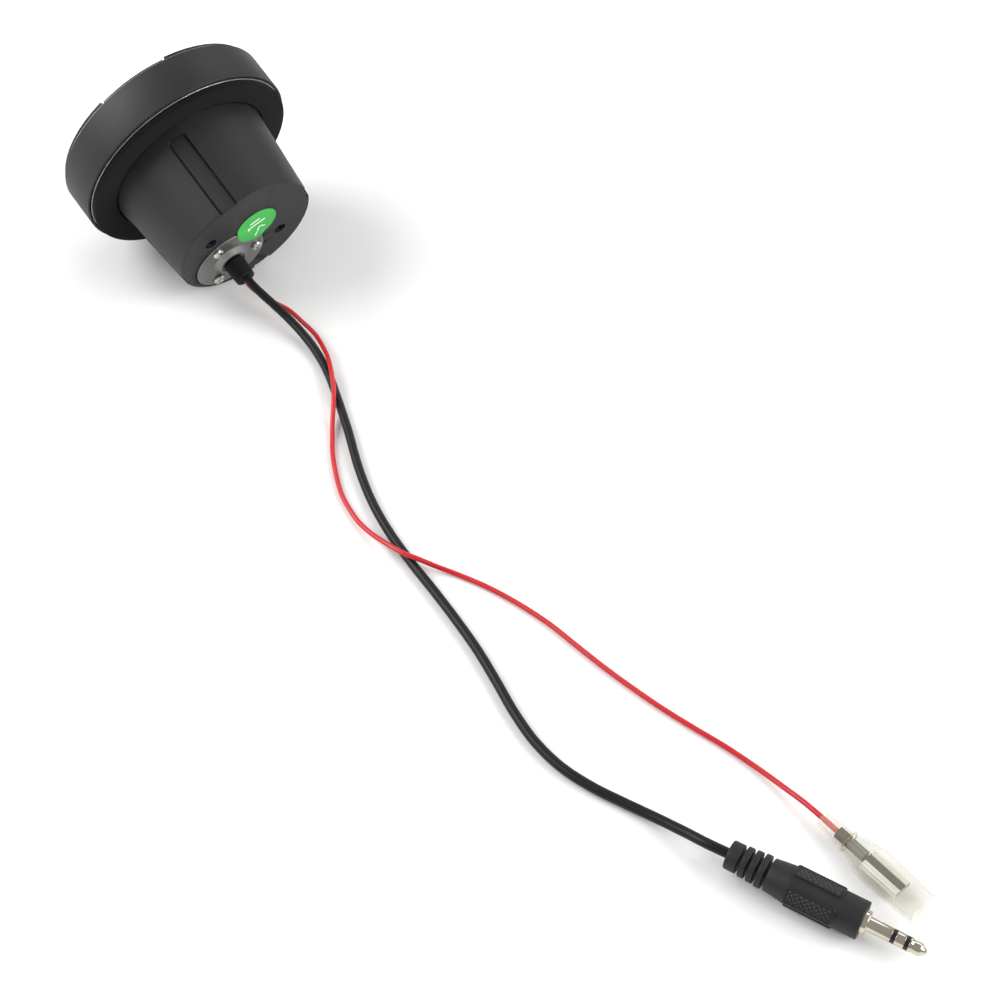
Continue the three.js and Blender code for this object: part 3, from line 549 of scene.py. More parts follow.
def eased(node, name, rounding_mm, material):
    """A CAD node's own mesh, welded, with its sharp edges rounded off."""
    shape = bmesh.new()
    shape.from_mesh(frame["nodes"][node].data)
    bmesh.ops.remove_doubles(shape, verts=shape.verts, dist=2e-6)
    bmesh.ops.dissolve_limit(shape, angle_limit=math.radians(0.5), verts=shape.verts, edges=shape.edges)
    corners = [e for e in shape.edges if e.is_manifold and e.calc_face_angle(0) > math.radians(45)]
    bmesh.ops.bevel(
        shape, geom=corners, offset=rounding_mm / 1000, segments=3, profile=0.5, affect="EDGES", clamp_overlap=True
    )
    mesh = bpy.data.meshes.new(name)
    shape.to_mesh(mesh)
    shape.free()
    mesh.shade_smooth()
    mesh.set_sharp_from_angle(angle=math.radians(40))
    mesh.materials.clear()
    mesh.materials.append(material)
    piece = bpy.data.objects.new(name, mesh)
    scene.collection.objects.link(piece)
    return with_even_normals(piece)


# ABS again, from a finer mould: satin rather than matte
face_abs = textured(
    "black ABS, fine satin mould", {"IOR": 1.52, "Specular IOR Level": 0.35}, ("#0f0f10", "#161617"),
    grain_mm=0.35, relief_mm=0.008, roughness=(0.4, 0.5),
)
face = eased("face_plate", "front_face", 0.25, face_abs)
stands_for(face, "unit", "moulded_face", "face_plate")

# ---- keys ----------------------------------------------------------------------------
# Four curved keys round the rim and a round one in the middle, moulded in ABS with a
# rubber-touch paint. Each carries its mark in white pad print and presses 0.6 mm.

# Rubber-touch paint: softer and flatter than the face, with no grain of its own
soft_paint = textured(
    "black rubber-touch paint",
    {"IOR": 1.5, "Specular IOR Level": 0.3, "Sheen Weight": 0.06, "Sheen Roughness": 0.4},
    ("#141415", "#1b1b1c"),
    grain_mm=0.8, relief_mm=0.004, roughness=(0.5, 0.6),
)
# Pad-printed ink: flat soft white, a little raised
pad_print = textured(
    "white pad print", {"IOR": 1.5, "Specular IOR Level": 0.35}, ("#d9d9d6", "#eeeeeb"),
    grain_mm=0.3, relief_mm=0.004, roughness=(0.45, 0.55),
)


def printed(name, strokes, to_place, height_at, thick, material):
    """White marks from strokes, each a bar (x, y, length, width, degrees), cut fine enough
    to follow what they lie on."""
    points, faces = [], []
    for x, y, length, width, degrees in strokes:
        steps = max(1, int(length / 0.6))
        along, across = polar(1, degrees), polar(1, degrees + 90)
        first = len(points)
        for i in range(steps + 1):
            u = (i / steps - 0.5) * length
            for v, top in ((-width / 2, 0), (width / 2, 0), (width / 2, 1), (-width / 2, 1)):
                px, py = to_place(x + u * along[0] + v * across[0], y + u * along[1] + v * across[1])
                points.append((px, py, height_at(px, py) + thick * top))
        faces += grid_faces(steps + 1, 4, first)
        faces += [tuple(first + k for k in (0, 1, 2, 3)), tuple(first + 4 * steps + k for k in (3, 2, 1, 0))]
    return new_piece(name, points, faces, unit_mm, material, sharp=30)


def chevrons(side):
    """Two arrowheads and a stop bar that point right, or left where side is -1."""
    marks = [(2.15 * side, 0, 2.9, 0.5, 90)]
    for x in (-0.95, 0.85):
        marks += [(x * side, 0.62, 1.9, 0.5, -45 * side), (x * side, -0.62, 1.9, 0.5, 45 * side)]
    return marks


play_marks = [(-2.7, 0, 3.6, 0.5, 90), (-1.35, 0.85, 3.2, 0.5, -32), (-1.35, -0.85, 3.2, 0.5, 32)]
play_marks += [(1.3, 0, 3.6, 0.75, 90), (2.8, 0, 3.6, 0.75, 90)]
# The face's own right and up, from the front, are at 202 and 112 degrees round the unit.
for node, angle, distance, top, marks in (
    ("key_next", 202, 26.8, -1.65, chevrons(1)),
    ("key_volume_up", 112, 26.8, -1.65, [(0, 0, 3.8, 0.6, 0), (0, 0, 3.8, 0.6, 90)]),
    ("key_previous", 22, 26.8, -1.65, chevrons(-1)),
    ("key_volume_down", 292, 26.8, -1.65, [(0, 0, 3.8, 0.6, 0)]),
    ("key_play", 0, 0, -1.3, play_marks),
):
    key = eased(node, node + "_cap", 0.45, soft_paint)
    stands_for(key, node, "key_plastic", node)
    middle = polar(distance, angle)
    right, up = polar(1, 202), polar(1, 112)
    mark = printed(
        node + "_mark",
        marks,
        lambda x, y: (middle[0] + x * right[0] + y * up[0], middle[1] + x * right[1] + y * up[1]),
        lambda x, y: top,
        -0.03,
        pad_print,
    )
    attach(mark, node)

# ---- light guide ---------------------------------------------------------------------
# Frosted acrylic ring round the middle key, moulded, that spreads the lights behind it.
# Frosted acrylic: milky grey, with light spreading a few millimetres inside it
frosted_acrylic = textured(
    "frosted acrylic",
    {"IOR": 1.49, "Specular IOR Level": 0.5, "Subsurface Weight": 0.6, "Subsurface Radius": (0.003, 0.003, 0.003)},
    ("#b9c0c4", "#d3d8da"),
    grain_mm=0.4, relief_mm=0.01, roughness=(0.4, 0.55),
)
light_ring = eased("light_guide", "light_guide_ring", 0.2, frosted_acrylic)
stands_for(light_ring, "unit", "diffuser", "light_guide")

# ---- inside the case -----------------------------------------------------------------
# The front shell, the silicone key mat, the board with its parts and plugs, the seal and
# the screws that hold the shells together. They keep their CAD shapes.
for nodes, finish in (
    (("front_case",), moulded_abs),
    (("inner_lead",), black_sheath),
    # silicone rubber, pigmented grey, with the bloom of a compression mould
    (("key_mat",), textured(
        "grey silicone rubber", {"IOR": 1.42, "Specular IOR Level": 0.3}, ("#3a3c3e", "#4a4c4e"),
        grain_mm=0.6, relief_mm=0.01, roughness=(0.6, 0.75),
    )),
    # glass epoxy under green solder mask, whose weave just shows
    (("circuit_board",), textured(
        "green solder mask on glass epoxy", {"IOR": 1.55, "Specular IOR Level": 0.5}, ("#0c4a2a", "#15603a"),
        grain_mm=0.5, relief_mm=0.01, roughness=(0.3, 0.4), stretch=(1, 3, 1), turn=unit_turn,
    )),
    # stainless cans, drawn: bright, with a fine grain
    ([f"tact_switch_{i}" for i in range(1, 6)], textured(
        "stainless switch can", {"Metallic": 1.0}, ("#a6a8aa", "#c0c2c4"),
        grain_mm=0.25, relief_mm=0.004, roughness=(0.25, 0.35),
    )),
    # cast epoxy lenses: warm, clear and glossy
    ([f"key_light_{i}" for i in range(1, 5)], textured(
        "cast lens epoxy", {"IOR": 1.5, "Specular IOR Level": 0.5, "Subsurface Weight": 0.3}, ("#ece6c8", "#f6f1da"),
        grain_mm=0.4, relief_mm=0.002, roughness=(0.1, 0.2),
    )),
    # epoxy moulding compound: flat black, with a fine mould grain
    (("main_chip", "radio_chip"), textured(
        "black epoxy moulding compound", {"IOR": 1.55, "Specular IOR Level": 0.4}, ("#161617", "#202021"),
        grain_mm=0.15, relief_mm=0.008, roughness=(0.5, 0.6),
    )),
    # drawn aluminium: soft silver
    (("capacitor_1", "capacitor_2"), textured(
        "drawn aluminium can", {"Metallic": 1.0}, ("#b4b6b8", "#ccced0"),
        grain_mm=0.3, relief_mm=0.004, roughness=(0.25, 0.4),
    )),
    # natural nylon: ivory, a little translucent
    (("lead_socket", "lead_plug"), textured(
        "natural nylon, moulded", {"IOR": 1.53, "Specular IOR Level": 0.45, "Subsurface Weight": 0.2},
        ("#d8d2bf", "#e8e3d3"), grain_mm=0.4, relief_mm=0.006, roughness=(0.4, 0.5),
    )),
    # EPDM cord: soft black, almost without shine
    (("case_seal",), textured(
        "black EPDM cord", {"IOR": 1.52, "Specular IOR Level": 0.3}, ("#0c0c0d", "#151516"),
        grain_mm=0.4, relief_mm=0.02, roughness=(0.6, 0.75),
    )),
    # zinc plate: cool grey, half bright
    ([f"case_screw_{i}" for i in range(1, 5)], textured(
        "steel, zinc plated", {"Metallic": 1.0}, ("#a8abb0", "#c4c7cb"),
        grain_mm=0.3, relief_mm=0.005, roughness=(0.25, 0.38),
    )),
    # nickel on brass: warm grey, half bright
    (("gland_nut",), textured(
        "brass, nickel plated", {"Metallic": 1.0}, ("#b5ad9b", "#cfc8b8"),
        grain_mm=0.4, relief_mm=0.005, roughness=(0.2, 0.32),
    )),
):
    for node in nodes:
        for held in frame["nodes"][node].material_slots:
            held.material = finish

# ---- gland plate ---------------------------------------------------------------------
# Round stainless plate, stamped with a raised boss for the gland, let into the case's back
# and held by three screws. Its face is finely brushed.
# Stainless steel: dull grey, streaked one way by its brushing. The real lines are finer than
# these, which are as coarse as they need to be to show.
brushed_stainless = textured(
    "stainless steel, stamped, fine brushed", {"Metallic": 1.0, "Anisotropic": 0.3}, ("#737372", "#929291"),
    grain_mm=0.22, relief_mm=0.012, roughness=(0.36, 0.52), stretch=(1, 14, 1), turn=unit_turn,
)
gland_mm = unit_mm @ Matrix.Translation((gland_x, gland_y, 0))
gland_plate = turned(
    "stamped_gland_plate",
    [
        (2.8, 44.2), (12, 44.2), (12, 45.1, 0.22), (6.0, 45.1, 0.7), (4.75, 46.8, 0.7),
        (3.9, 46.8, 0.25), (3.75, 46.3), (2.8, 46.3),
    ],
    gland_mm, brushed_stainless, segments=160,
)
stands_for(gland_plate, "unit", "brushed_plate", "gland_plate")

# ---- gland screws --------------------------------------------------------------------
# Three M1.7 pan-head screws with a cross recess, steel with bright nickel plate.


def new_tree(name, **kinds):
    """A Geometry Nodes tree with a named input of each kind, and the inputs' values."""
    tree = bpy.data.node_groups.new(name, "GeometryNodeTree")
    for label, kind in kinds.items():
        label = label.capitalize().replace("_", " ")
        tree.interface.new_socket(label, in_out="INPUT", socket_type="NodeSocket" + kind)
    tree.interface.new_socket("Geometry", in_out="OUTPUT", socket_type="NodeSocketGeometry")
    return tree, add_node(tree, "NodeGroupInput").outputs


def end_tree(tree, copies, finish):
    """The end of a tree: its copies made real, in their finish."""
    real = add_node(tree, "GeometryNodeRealizeInstances", inputs={"Geometry": copies})
    values = {"Geometry": real.outputs["Geometry"], "Material": finish}
    done = add_node(tree, "GeometryNodeSetMaterial", inputs=values)
    add_node(tree, "NodeGroupOutput", inputs={"Geometry": done.outputs["Geometry"]})
    return tree


def copies_on_circle(name):
    """Copies of an object on a circle round Z, each with a turn of its own."""
    tree, given = new_tree(
        name, screw="Object", count="Int", circle_radius="Float", phase="Float", height="Float",
        seed="Int", finish="Material",
    )
    circle_values = {"Vertices": given["Count"], "Radius": given["Circle radius"]}
    ring = add_node(tree, "GeometryNodeMeshCircle", inputs=circle_values)
    turn = add_node(tree, "ShaderNodeCombineXYZ", inputs={"Z": given["Phase"]})
    lift = add_node(tree, "ShaderNodeCombineXYZ", inputs={"Z": given["Height"]})
    ring = add_node(
        tree,
        "GeometryNodeTransform",
        inputs={"Geometry": ring.outputs["Mesh"], "Rotation": turn.outputs[0], "Translation": lift.outputs[0]},
    )
    screw = add_node(tree, "GeometryNodeObjectInfo", inputs={"Object": given["Screw"]})
    own_turn = add_node(
        tree, "FunctionNodeRandomValue", {"data_type": "FLOAT"}, {3: 1.6, "Seed": given["Seed"]}
    )
    own_turn = add_node(tree, "ShaderNodeCombineXYZ", inputs={"Z": own_turn.outputs[1]})
    placed = add_node(
        tree,
        "GeometryNodeInstanceOnPoints",
        inputs={
            "Points": ring.outputs["Geometry"],
            "Instance": screw.outputs["Geometry"],
            "Rotation": own_turn.outputs[0],
        },
    )
    return end_tree(tree, placed.outputs["Instances"], given["Finish"])


def made_by(tree, name, place, sharp, **values):
    """The plain mesh that a Geometry Nodes tree makes from these values, in its place."""
    holder = bpy.data.objects.new(name + "_nodes", bpy.data.meshes.new(name + "_nodes"))
    scene.collection.objects.link(holder)
    modifier = holder.modifiers.new("make", "NODES")
    modifier.node_group = tree
    for item in tree.interface.items_tree:
        if item.in_out == "INPUT":
            modifier[item.identifier] = values[item.name.lower().replace(" ", "_")]
    bpy.context.view_layer.update()
    mesh = bpy.data.meshes.new_from_object(holder.evaluated_get(bpy.context.evaluated_depsgraph_get()))
    bpy.data.objects.remove(holder)
    mesh.name = name
    mesh.transform(place)
    mesh.shade_smooth()
    mesh.set_sharp_from_angle(angle=math.radians(sharp))
    piece = bpy.data.objects.new(name, mesh)
    scene.collection.objects.link(piece)
    return piece


def pan_head(name, radius, height, recess):
    """A pan head on a short shank, as one surface with a cross recess sunk in its crown."""
    sides = 96
    angles = np.arange(sides) * 2 * math.pi / sides
    points = []
    rows = 0
    for reach in (0.04, 0.1, 0.16, 0.2, 0.24, 0.28, 0.34, 0.42, 0.5, 0.56, 0.6, 0.66, 0.76, 0.86, 0.94, 0.985, 1.0):
        r = radius * reach
        crown = height * (1 - 0.42 * reach**2.2) - height * 0.3 * max(0, (reach - 0.86) / 0.14) ** 2
        x, y = r * np.cos(angles), r * np.sin(angles)
        along, across = np.maximum(np.abs(x), np.abs(y)), np.minimum(np.abs(x), np.abs(y))
        wing = np.maximum(along - radius * 0.56, across - radius * 0.13 * (1.15 - along / radius))
        depth = recess * np.clip(-wing / (radius * 0.07), 0, 1)
        points += list(zip(x, y, crown - depth))
        rows += 1
    for r, z in ((radius, 0.05), (radius * 0.97, 0.0), (radius * 0.45, 0.0), (radius * 0.45, -2.5)):
        points += [(r * math.cos(a), r * math.sin(a), z) for a in angles]
        rows += 1
    faces = grid_faces(rows, sides)
    for z, row in ((height - recess, 0), (-2.5, rows - 1)):
        points.append((0, 0, z))
        faces += fan(len(points) - 1, row * sides, sides)
    return new_piece(name, points, faces, Matrix.Scale(0.001, 4), sharp=40)


# Bright nickel: mirror-like, with faint handling scratches in the roughness
bright_nickel = textured(
    "bright nickel plate", {"Metallic": 1.0}, ("#bdb9b1", "#d9d5cd"),
    grain_mm=0.6, relief_mm=0.003, roughness=(0.12, 0.22),
)
screw_pattern = pan_head("screw_pattern", 1.8, 1.1, 0.6)
screws = made_by(
    copies_on_circle("screws on a circle"),
    "gland_plate_screws",
    gland_mm @ Matrix.Scale(1000, 4),
    sharp=40,
    screw=screw_pattern,
    count=3,
    circle_radius=0.0092,
    phase=math.radians(6.5),
    height=0.0452,
    seed=4,
    finish=bright_nickel,
)
bpy.data.objects.remove(screw_pattern)
stands_for(screws, "unit", "bright_screw", "gland_screw_1", "gland_screw_2", "gland_screw_3")

# ---- cable gland ---------------------------------------------------------------------
# Black rubber bush that both leads leave through. It tapers a little and has a soft end,
# and its neck is held by a nut inside the case.
# Nitrile rubber: dead black, with next to no shine
gland_rubber = textured(
    "black nitrile rubber, moulded", {"IOR": 1.52, "Specular IOR Level": 0.25}, ("#0a0a0b", "#121213"),
    grain_mm=0.45, relief_mm=0.03, roughness=(0.6, 0.75),
)
gland = turned(
    "rubber_cable_gland",
    [
        (0, 38.3), (2.5, 38.3), (2.5, 46.4), (3.4, 46.9, 0.3), (3.38, 47.6), (3.12, 52.6, 0.3), (3.1, 53.25, 0.5),
        (0, 53.25),
    ],
    gland_mm, gland_rubber, segments=96, sharp=30,
)
stands_for(gland, "unit", "gland_rubber", "cable_gland")

# ---- round sticker -------------------------------------------------------------------
# Green inspection sticker, 14 mm across, with white print. It lies on the case's back and
# bridges onto the gland plate's edge.
sticker_x, sticker_y, sticker_radius = 3.1, 4.3, 7
glue, plate_step, slope_run, plate_radius = 0.04, 0.42, 1.6, 12


def sticker_height(x, y):
    """The sheet's underside: on the case, then up a short slope onto the gland plate."""
    from_plate = math.hypot(x - gland_x, y - gland_y) - plate_radius
    t = min(max(1 - from_plate / slope_run, 0), 1)
    return case_back + glue + plate_step * t * t * (3 - 2 * t)


def sheet_on_back(name, reaches, lift, thick, place, outline_at, material):
    """A thin sheet that follows the back: rows of points out from its middle, both sides."""
    points, sides = [], 96
    for side, spots in ((thick, reaches), (0, reaches[::-1])):
        for reach in spots:
            for j in range(sides):
                x, y = outline_at(2 * math.pi * j / sides)
                x, y = place[0] + x * reach, place[1] + y * reach
                points.append((x, y, sticker_height(x, y) + lift + side))
    rows = 2 * len(reaches)
    faces = grid_faces(rows, sides)
    for z, row in ((lift + thick, 0), (lift, rows - 1)):
        points.append((*place, sticker_height(*place) + z))
        faces += fan(len(points) - 1, row * sides, sides)
    return new_piece(name, points, faces, unit_mm, material, sharp=50)


# Self-adhesive paper label, printed bright green, with a satin varnish
green_label = textured(
    "green label paper, varnished",
    {"IOR": 1.5, "Specular IOR Level": 0.4, "Coat Weight": 0.15, "Coat Roughness": 0.3},
    ("#27a83b", "#3cbc4d"),
    grain_mm=0.5, relief_mm=0.006, roughness=(0.4, 0.5),
)
# Label ink: white with a breath of the green under it
white_ink = textured(
    "white label ink", {"IOR": 1.5, "Specular IOR Level": 0.35}, ("#d9f0da", "#f0f8ee"),
    grain_mm=0.3, relief_mm=0.004, roughness=(0.45, 0.55),
)
sticker = sheet_on_back(
    "inspection_sticker",
    [0.1, 0.25, 0.4, 0.55, 0.7, 0.8, 0.88, 0.94, 1.0],
    0,
    0.12,
    (sticker_x, sticker_y),
    lambda a: (sticker_radius * math.cos(a), sticker_radius * math.sin(a)),
    green_label,
)
stands_for(sticker, "unit", "sticker", "round_sticker")


def on_sticker(x, y):
    """A mark's place on the sticker, turned to be read from the plug's end."""
    c, s = polar(1, -158)
    return sticker_x + x * c - y * s, sticker_y + x * s + y * c


# a tick over two plain bars
marks = [(-1.5, 2.9, 2.0, 0.6, -45), (0.75, 3.35, 4.0, 0.6, 45)]
marks += [(0, -0.4, 6.4, 0.75, 0), (0, -2.3, 3.6, 0.75, 0)]
sticker_print = printed(
    "sticker_print", marks, on_sticker, lambda x, y: sticker_height(x, y) + 0.11, 0.03, white_ink
)
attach(sticker_print, "unit")

# ---- jack plug's handle --------------------------------------------------------------
# Black PVC moulded over the plug and the lead in one shot: a collar and three flexing
# ribs at the lead's end, and four grip pads with a raised rim round diamond knurling.


def lying(x, y, height, heading):
    """Millimetres along a piece that lies on the surface: Z runs along it and X points down."""
    return (
        Matrix.Translation((x / 1000, y / 1000, height / 1000))
        @ Matrix.Rotation(math.radians(heading), 4, "Z")
        @ Matrix.Rotation(math.pi / 2, 4, "Y")
        @ Matrix.Scale(0.001, 4)
    )


plug_mm = lying(261.5, -28.2, 5.15, 19.7)
# Overmoulded PVC: matte black, a little softer in its shine than the case
overmoulding = textured(
    "black PVC, overmoulded", {"IOR": 1.53, "Specular IOR Level": 0.4}, ("#121213", "#1a1a1b"),
    grain_mm=0.3, relief_mm=0.018, roughness=(0.48, 0.6),
)
handle_length, handle_sides = 33.7, 300
handle_corners = [(0, 0), (3.55, 0, 0.35), (3.6, 3, 0.25), (2.75, 3, 0.1), (2.75, 3.7, 0.1)]
for rib_radius, rib_start in ((3.8, 3.7), (3.95, 5.9), (4.15, 8.1)):
    handle_corners += [
        (rib_radius, rib_start, 0.22), (rib_radius, rib_start + 1.5, 0.22),
        (2.75, rib_start + 1.5, 0.1), (2.75, rib_start + 2.2, 0.1),
    ]
handle_corners += [(4.0, 10.3, 0.3), (4.65, 15.6, 3.0), (4.65, handle_length, 0.3), (0, handle_length)]
handle_profile = softened(handle_corners, closed=False)
pad_start, pad_end, pad_half_sweep, pad_phase = 15.6, 27.8, math.radians(28), -26
pad_radius, pad_corner, pad_rise, field_drop = 5, 0.7, 0.5, 0.28


def pad_relief(angles, z):
    """Height of the grip pads above the handle's body: rims, and a lower field inside."""
    off_pad = (angles - math.radians(pad_phase) + math.pi / 4) % (math.pi / 2) - math.pi / 4
    across = np.abs(off_pad) * pad_radius - (pad_half_sweep * pad_radius - pad_corner)
    along = abs(z - (pad_start + pad_end) / 2) - ((pad_end - pad_start) / 2 - pad_corner)
    edge = np.hypot(np.maximum(across, 0), max(along, 0)) + np.minimum(np.maximum(across, along), 0) - pad_corner
    rim = np.clip(-edge / 0.16, 0, 1)
    field = np.clip((-edge - 0.42) / 0.14, 0, 1)
    return pad_rise * rim - field_drop * field


handle_columns = np.arange(handle_sides) * 2 * math.pi / handle_sides
handle_rows = [(r, z) for r, z in handle_profile[1:-1] if z < 12.3]
# The rows are closest at the two ends of the pads.
body_z = np.concatenate([
    np.arange(12.4, 15.3, 0.5), np.arange(15.5, 16.7, 0.1), np.arange(17, 26.5, 0.7), np.arange(26.7, 28, 0.1),
    np.arange(28.5, 33.2, 0.8),
])
body_profile = [p for p in handle_profile if p[1] > 10.35]
body_radii, body_heights = zip(*body_profile[:-1])
handle_rows += [(np.interp(z, body_heights, body_radii), z) for z in body_z]
handle_rows += [(r, z) for r, z in handle_profile[1:-1] if z > 33.3]
handle_points = []
for radius, z in handle_rows:
    reach = radius + pad_relief(handle_columns, z)
    handle_points += [(r * math.cos(a), r * math.sin(a), z) for r, a in zip(reach, handle_columns)]
handle_faces = grid_faces(len(handle_rows), handle_sides)
for z, row in ((0, 0), (handle_length, len(handle_rows) - 1)):
    handle_points.append((0, 0, z))
    handle_faces += fan(len(handle_points) - 1, row * handle_sides, handle_sides)
handle = new_piece("plug_grip_handle", handle_points, handle_faces, plug_mm, overmoulding, sharp=38)
stands_for(handle, "unit", "plug_moulding", "plug_handle")


def knurled_pad(name):
    """Two crossed grids of four-sided points laid round a cylinder."""
    tree, given = new_tree(
        name, radius="Float", middle="Float", phase="Float", rows="Int", columns="Int",
        row_pitch="Float", column_pitch="Float", height="Float", finish="Material",
    )

    def sum_of(operation, a, b):
        return add_node(tree, "ShaderNodeMath", {"operation": operation}, {0: a, 1: b}).outputs[0]

    grids = []
    for fewer in (0.0, 1.0):
        rows, columns = sum_of("SUBTRACT", given["Rows"], fewer), sum_of("SUBTRACT", given["Columns"], fewer)
        grid = add_node(
            tree,
            "GeometryNodeMeshGrid",
            inputs={
                "Size X": sum_of("MULTIPLY", sum_of("SUBTRACT", columns, 1.0), given["Column pitch"]),
                "Size Y": sum_of("MULTIPLY", sum_of("SUBTRACT", rows, 1.0), given["Row pitch"]),
                "Vertices X": columns,
                "Vertices Y": rows,
            },
        )
        grids.append(grid.outputs["Mesh"])
    both = add_node(tree, "GeometryNodeJoinGeometry", inputs={"Geometry": grids[0]})
    tree.links.new(grids[1], both.inputs["Geometry"])
    place = add_node(tree, "GeometryNodeInputPosition").outputs[0]
    place = add_node(tree, "ShaderNodeSeparateXYZ", inputs={0: place})
    angle = sum_of("ADD", sum_of("DIVIDE", place.outputs["X"], given["Radius"]), given["Phase"])
    outward = add_node(
        tree,
        "ShaderNodeCombineXYZ",
        inputs={
            "X": add_node(tree, "ShaderNodeMath", {"operation": "COSINE"}, {0: angle}).outputs[0],
            "Y": add_node(tree, "ShaderNodeMath", {"operation": "SINE"}, {0: angle}).outputs[0],
        },
    ).outputs[0]
    held = add_node(
        tree,
        "GeometryNodeStoreNamedAttribute",
        {"data_type": "FLOAT_VECTOR", "domain": "POINT"},
        {"Geometry": both.outputs[0], "Name": "outward", "Value": outward},
    )
    at_radius = add_node(tree, "ShaderNodeVectorMath", {"operation": "SCALE"}, {0: outward, "Scale": given["Radius"]})
    along = add_node(
        tree, "ShaderNodeCombineXYZ", inputs={"Z": sum_of("ADD", place.outputs["Y"], given["Middle"])}
    )
    laid = add_node(
        tree, "ShaderNodeVectorMath", {"operation": "ADD"}, {0: at_radius.outputs[0], 1: along.outputs[0]}
    )
    round_body = add_node(
        tree, "GeometryNodeSetPosition", inputs={"Geometry": held.outputs[0], "Position": laid.outputs[0]}
    )
    kept = add_node(tree, "GeometryNodeInputNamedAttribute", {"data_type": "FLOAT_VECTOR"}, {"Name": "outward"})
    facing = add_node(
        tree,
        "FunctionNodeAxesToRotation",
        {"primary_axis": "Z", "secondary_axis": "X"},
        {0: kept.outputs["Attribute"], 1: (0.0, 0.0, 1.0)},
    )
    point = add_node(
        tree,
        "GeometryNodeMeshCone",
        inputs={"Vertices": 4, "Radius Top": 0.0, "Radius Bottom": 1.0, "Depth": 1.0},
    )
    size = add_node(
        tree,
        "ShaderNodeCombineXYZ",
        inputs={
            "X": sum_of("MULTIPLY", given["Row pitch"], 0.47),
            "Y": sum_of("MULTIPLY", given["Column pitch"], 0.47),
            "Z": given["Height"],
        },
    )
    placed = add_node(
        tree,
        "GeometryNodeInstanceOnPoints",
        inputs={
            "Points": round_body.outputs[0],
            "Instance": point.outputs["Mesh"],
            "Rotation": facing.outputs[0],
            "Scale": size.outputs[0],
        },
    )
    return end_tree(tree, placed.outputs[0], given["Finish"])


# The points are coarser than the real knurl's pitch of about 1 mm, so that they show.
knurl = knurled_pad("diamond knurl on a pad")
for i in range(4):
    pad = made_by(
        knurl, f"grip_knurl_{i + 1}", plug_mm, sharp=20,
        radius=4.84, middle=21.7, phase=math.radians(pad_phase + 90 * i), rows=8, columns=3,
        row_pitch=1.4, column_pitch=1.25, height=0.36, finish=overmoulding,
    )
    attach(pad, "unit")

# ---- jack contacts -------------------------------------------------------------------
# Three-pole 3.5 mm jack, turned brass with bright nickel plate, on a wider collar. Black
# acetal rings part the sleeve, ring and tip.

# Nickel on turned brass: a warmer tint than the screws, close to a mirror
jack_nickel = textured(
    "bright nickel on turned brass", {"Metallic": 1.0}, ("#c4bba8", "#ddd5c5"),
    grain_mm=0.25, relief_mm=0.002, roughness=(0.1, 0.18),
)
# Black acetal: smooth and a little glossy, against the metal's mirror
black_acetal = textured(
    "black acetal", {"IOR": 1.48, "Specular IOR Level": 0.5}, ("#0c0c0d", "#131314"),
    grain_mm=0.4, relief_mm=0.004, roughness=(0.3, 0.42),
)
for name, corners, finish, slot_name, node in (
    (
        "jack_flange", [(0, 33.6), (2.85, 33.6), (2.85, 34.9, 0.25), (2.2, 34.95), (0, 34.95)],
        jack_nickel, "nickel", "plug_collar",
    ),
    (
        "jack_sleeve_contact", [(0, 34.8), (1.75, 34.8), (1.75, 40.6, 0.08), (0, 40.6)],
        jack_nickel, "nickel", "jack_sleeve",
    ),
    (
        "jack_ring_1", [(0, 40.6), (1.7, 40.6), (1.7, 41.6), (0, 41.6)],
        black_acetal, "jack_insulator", "jack_insulator_1",
    ),
    (
        "jack_ring_contact", [(0, 41.6), (1.75, 41.6, 0.08), (1.75, 43.8, 0.08), (0, 43.8)],
        jack_nickel, "nickel", "jack_ring",
    ),
    (
        "jack_ring_2", [(0, 43.8), (1.7, 43.8), (1.7, 44.8), (0, 44.8)],
        black_acetal, "jack_insulator", "jack_insulator_2",
    ),
    (
        "jack_tip_contact",
        [
            (0, 44.8), (1.75, 44.8, 0.05), (1.75, 45.2, 0.1), (1.52, 45.7, 0.3), (1.6, 46.9, 0.5),
            (1.64, 47.4, 0.4), (0.6, 48.8, 0.4), (0, 49.0),
        ],
        jack_nickel, "nickel", "jack_tip",
    ),
):
    contact = turned(name, corners, plug_mm, finish, segments=96, sharp=35)
    stands_for(contact, "unit", slot_name, node)

# ---- push-on terminal ----------------------------------------------------------------
# Tinned steel receptacle for a flat tab, stamped and rolled: a crimp round the wire's
# insulation, a barrel round its strands, and two curled edges with a locking tongue between.
terminal_mm = lying(268.1, -3.2, 3, 0.7)
# Tinned steel: pale and soft in its shine, as tin is
tinned_steel = textured(
    "tinned steel, stamped", {"Metallic": 0.6, "Specular IOR Level": 0.5}, ("#e6e4db", "#f3f1ea"),
    grain_mm=0.35, relief_mm=0.008, roughness=(0.25, 0.4),
)
# The same sheet drawn thin round the strands: greyer and duller
grey_barrel = textured(
    "tinned steel, drawn into a barrel", {"Metallic": 1.0}, ("#5a615d", "#767d79"),
    grain_mm=0.35, relief_mm=0.008, roughness=(0.4, 0.5),
)
# The same sheet painted dark for the shade it lies in under the sleeve, with a faint glint on its edges
shade_painted_tin = textured(
    "tinned steel, painted dark for shade", {"Metallic": 1.0}, ("#1a1d1d", "#2b2f2f"),
    grain_mm=0.35, relief_mm=0.01, roughness=(0.35, 0.5),
)


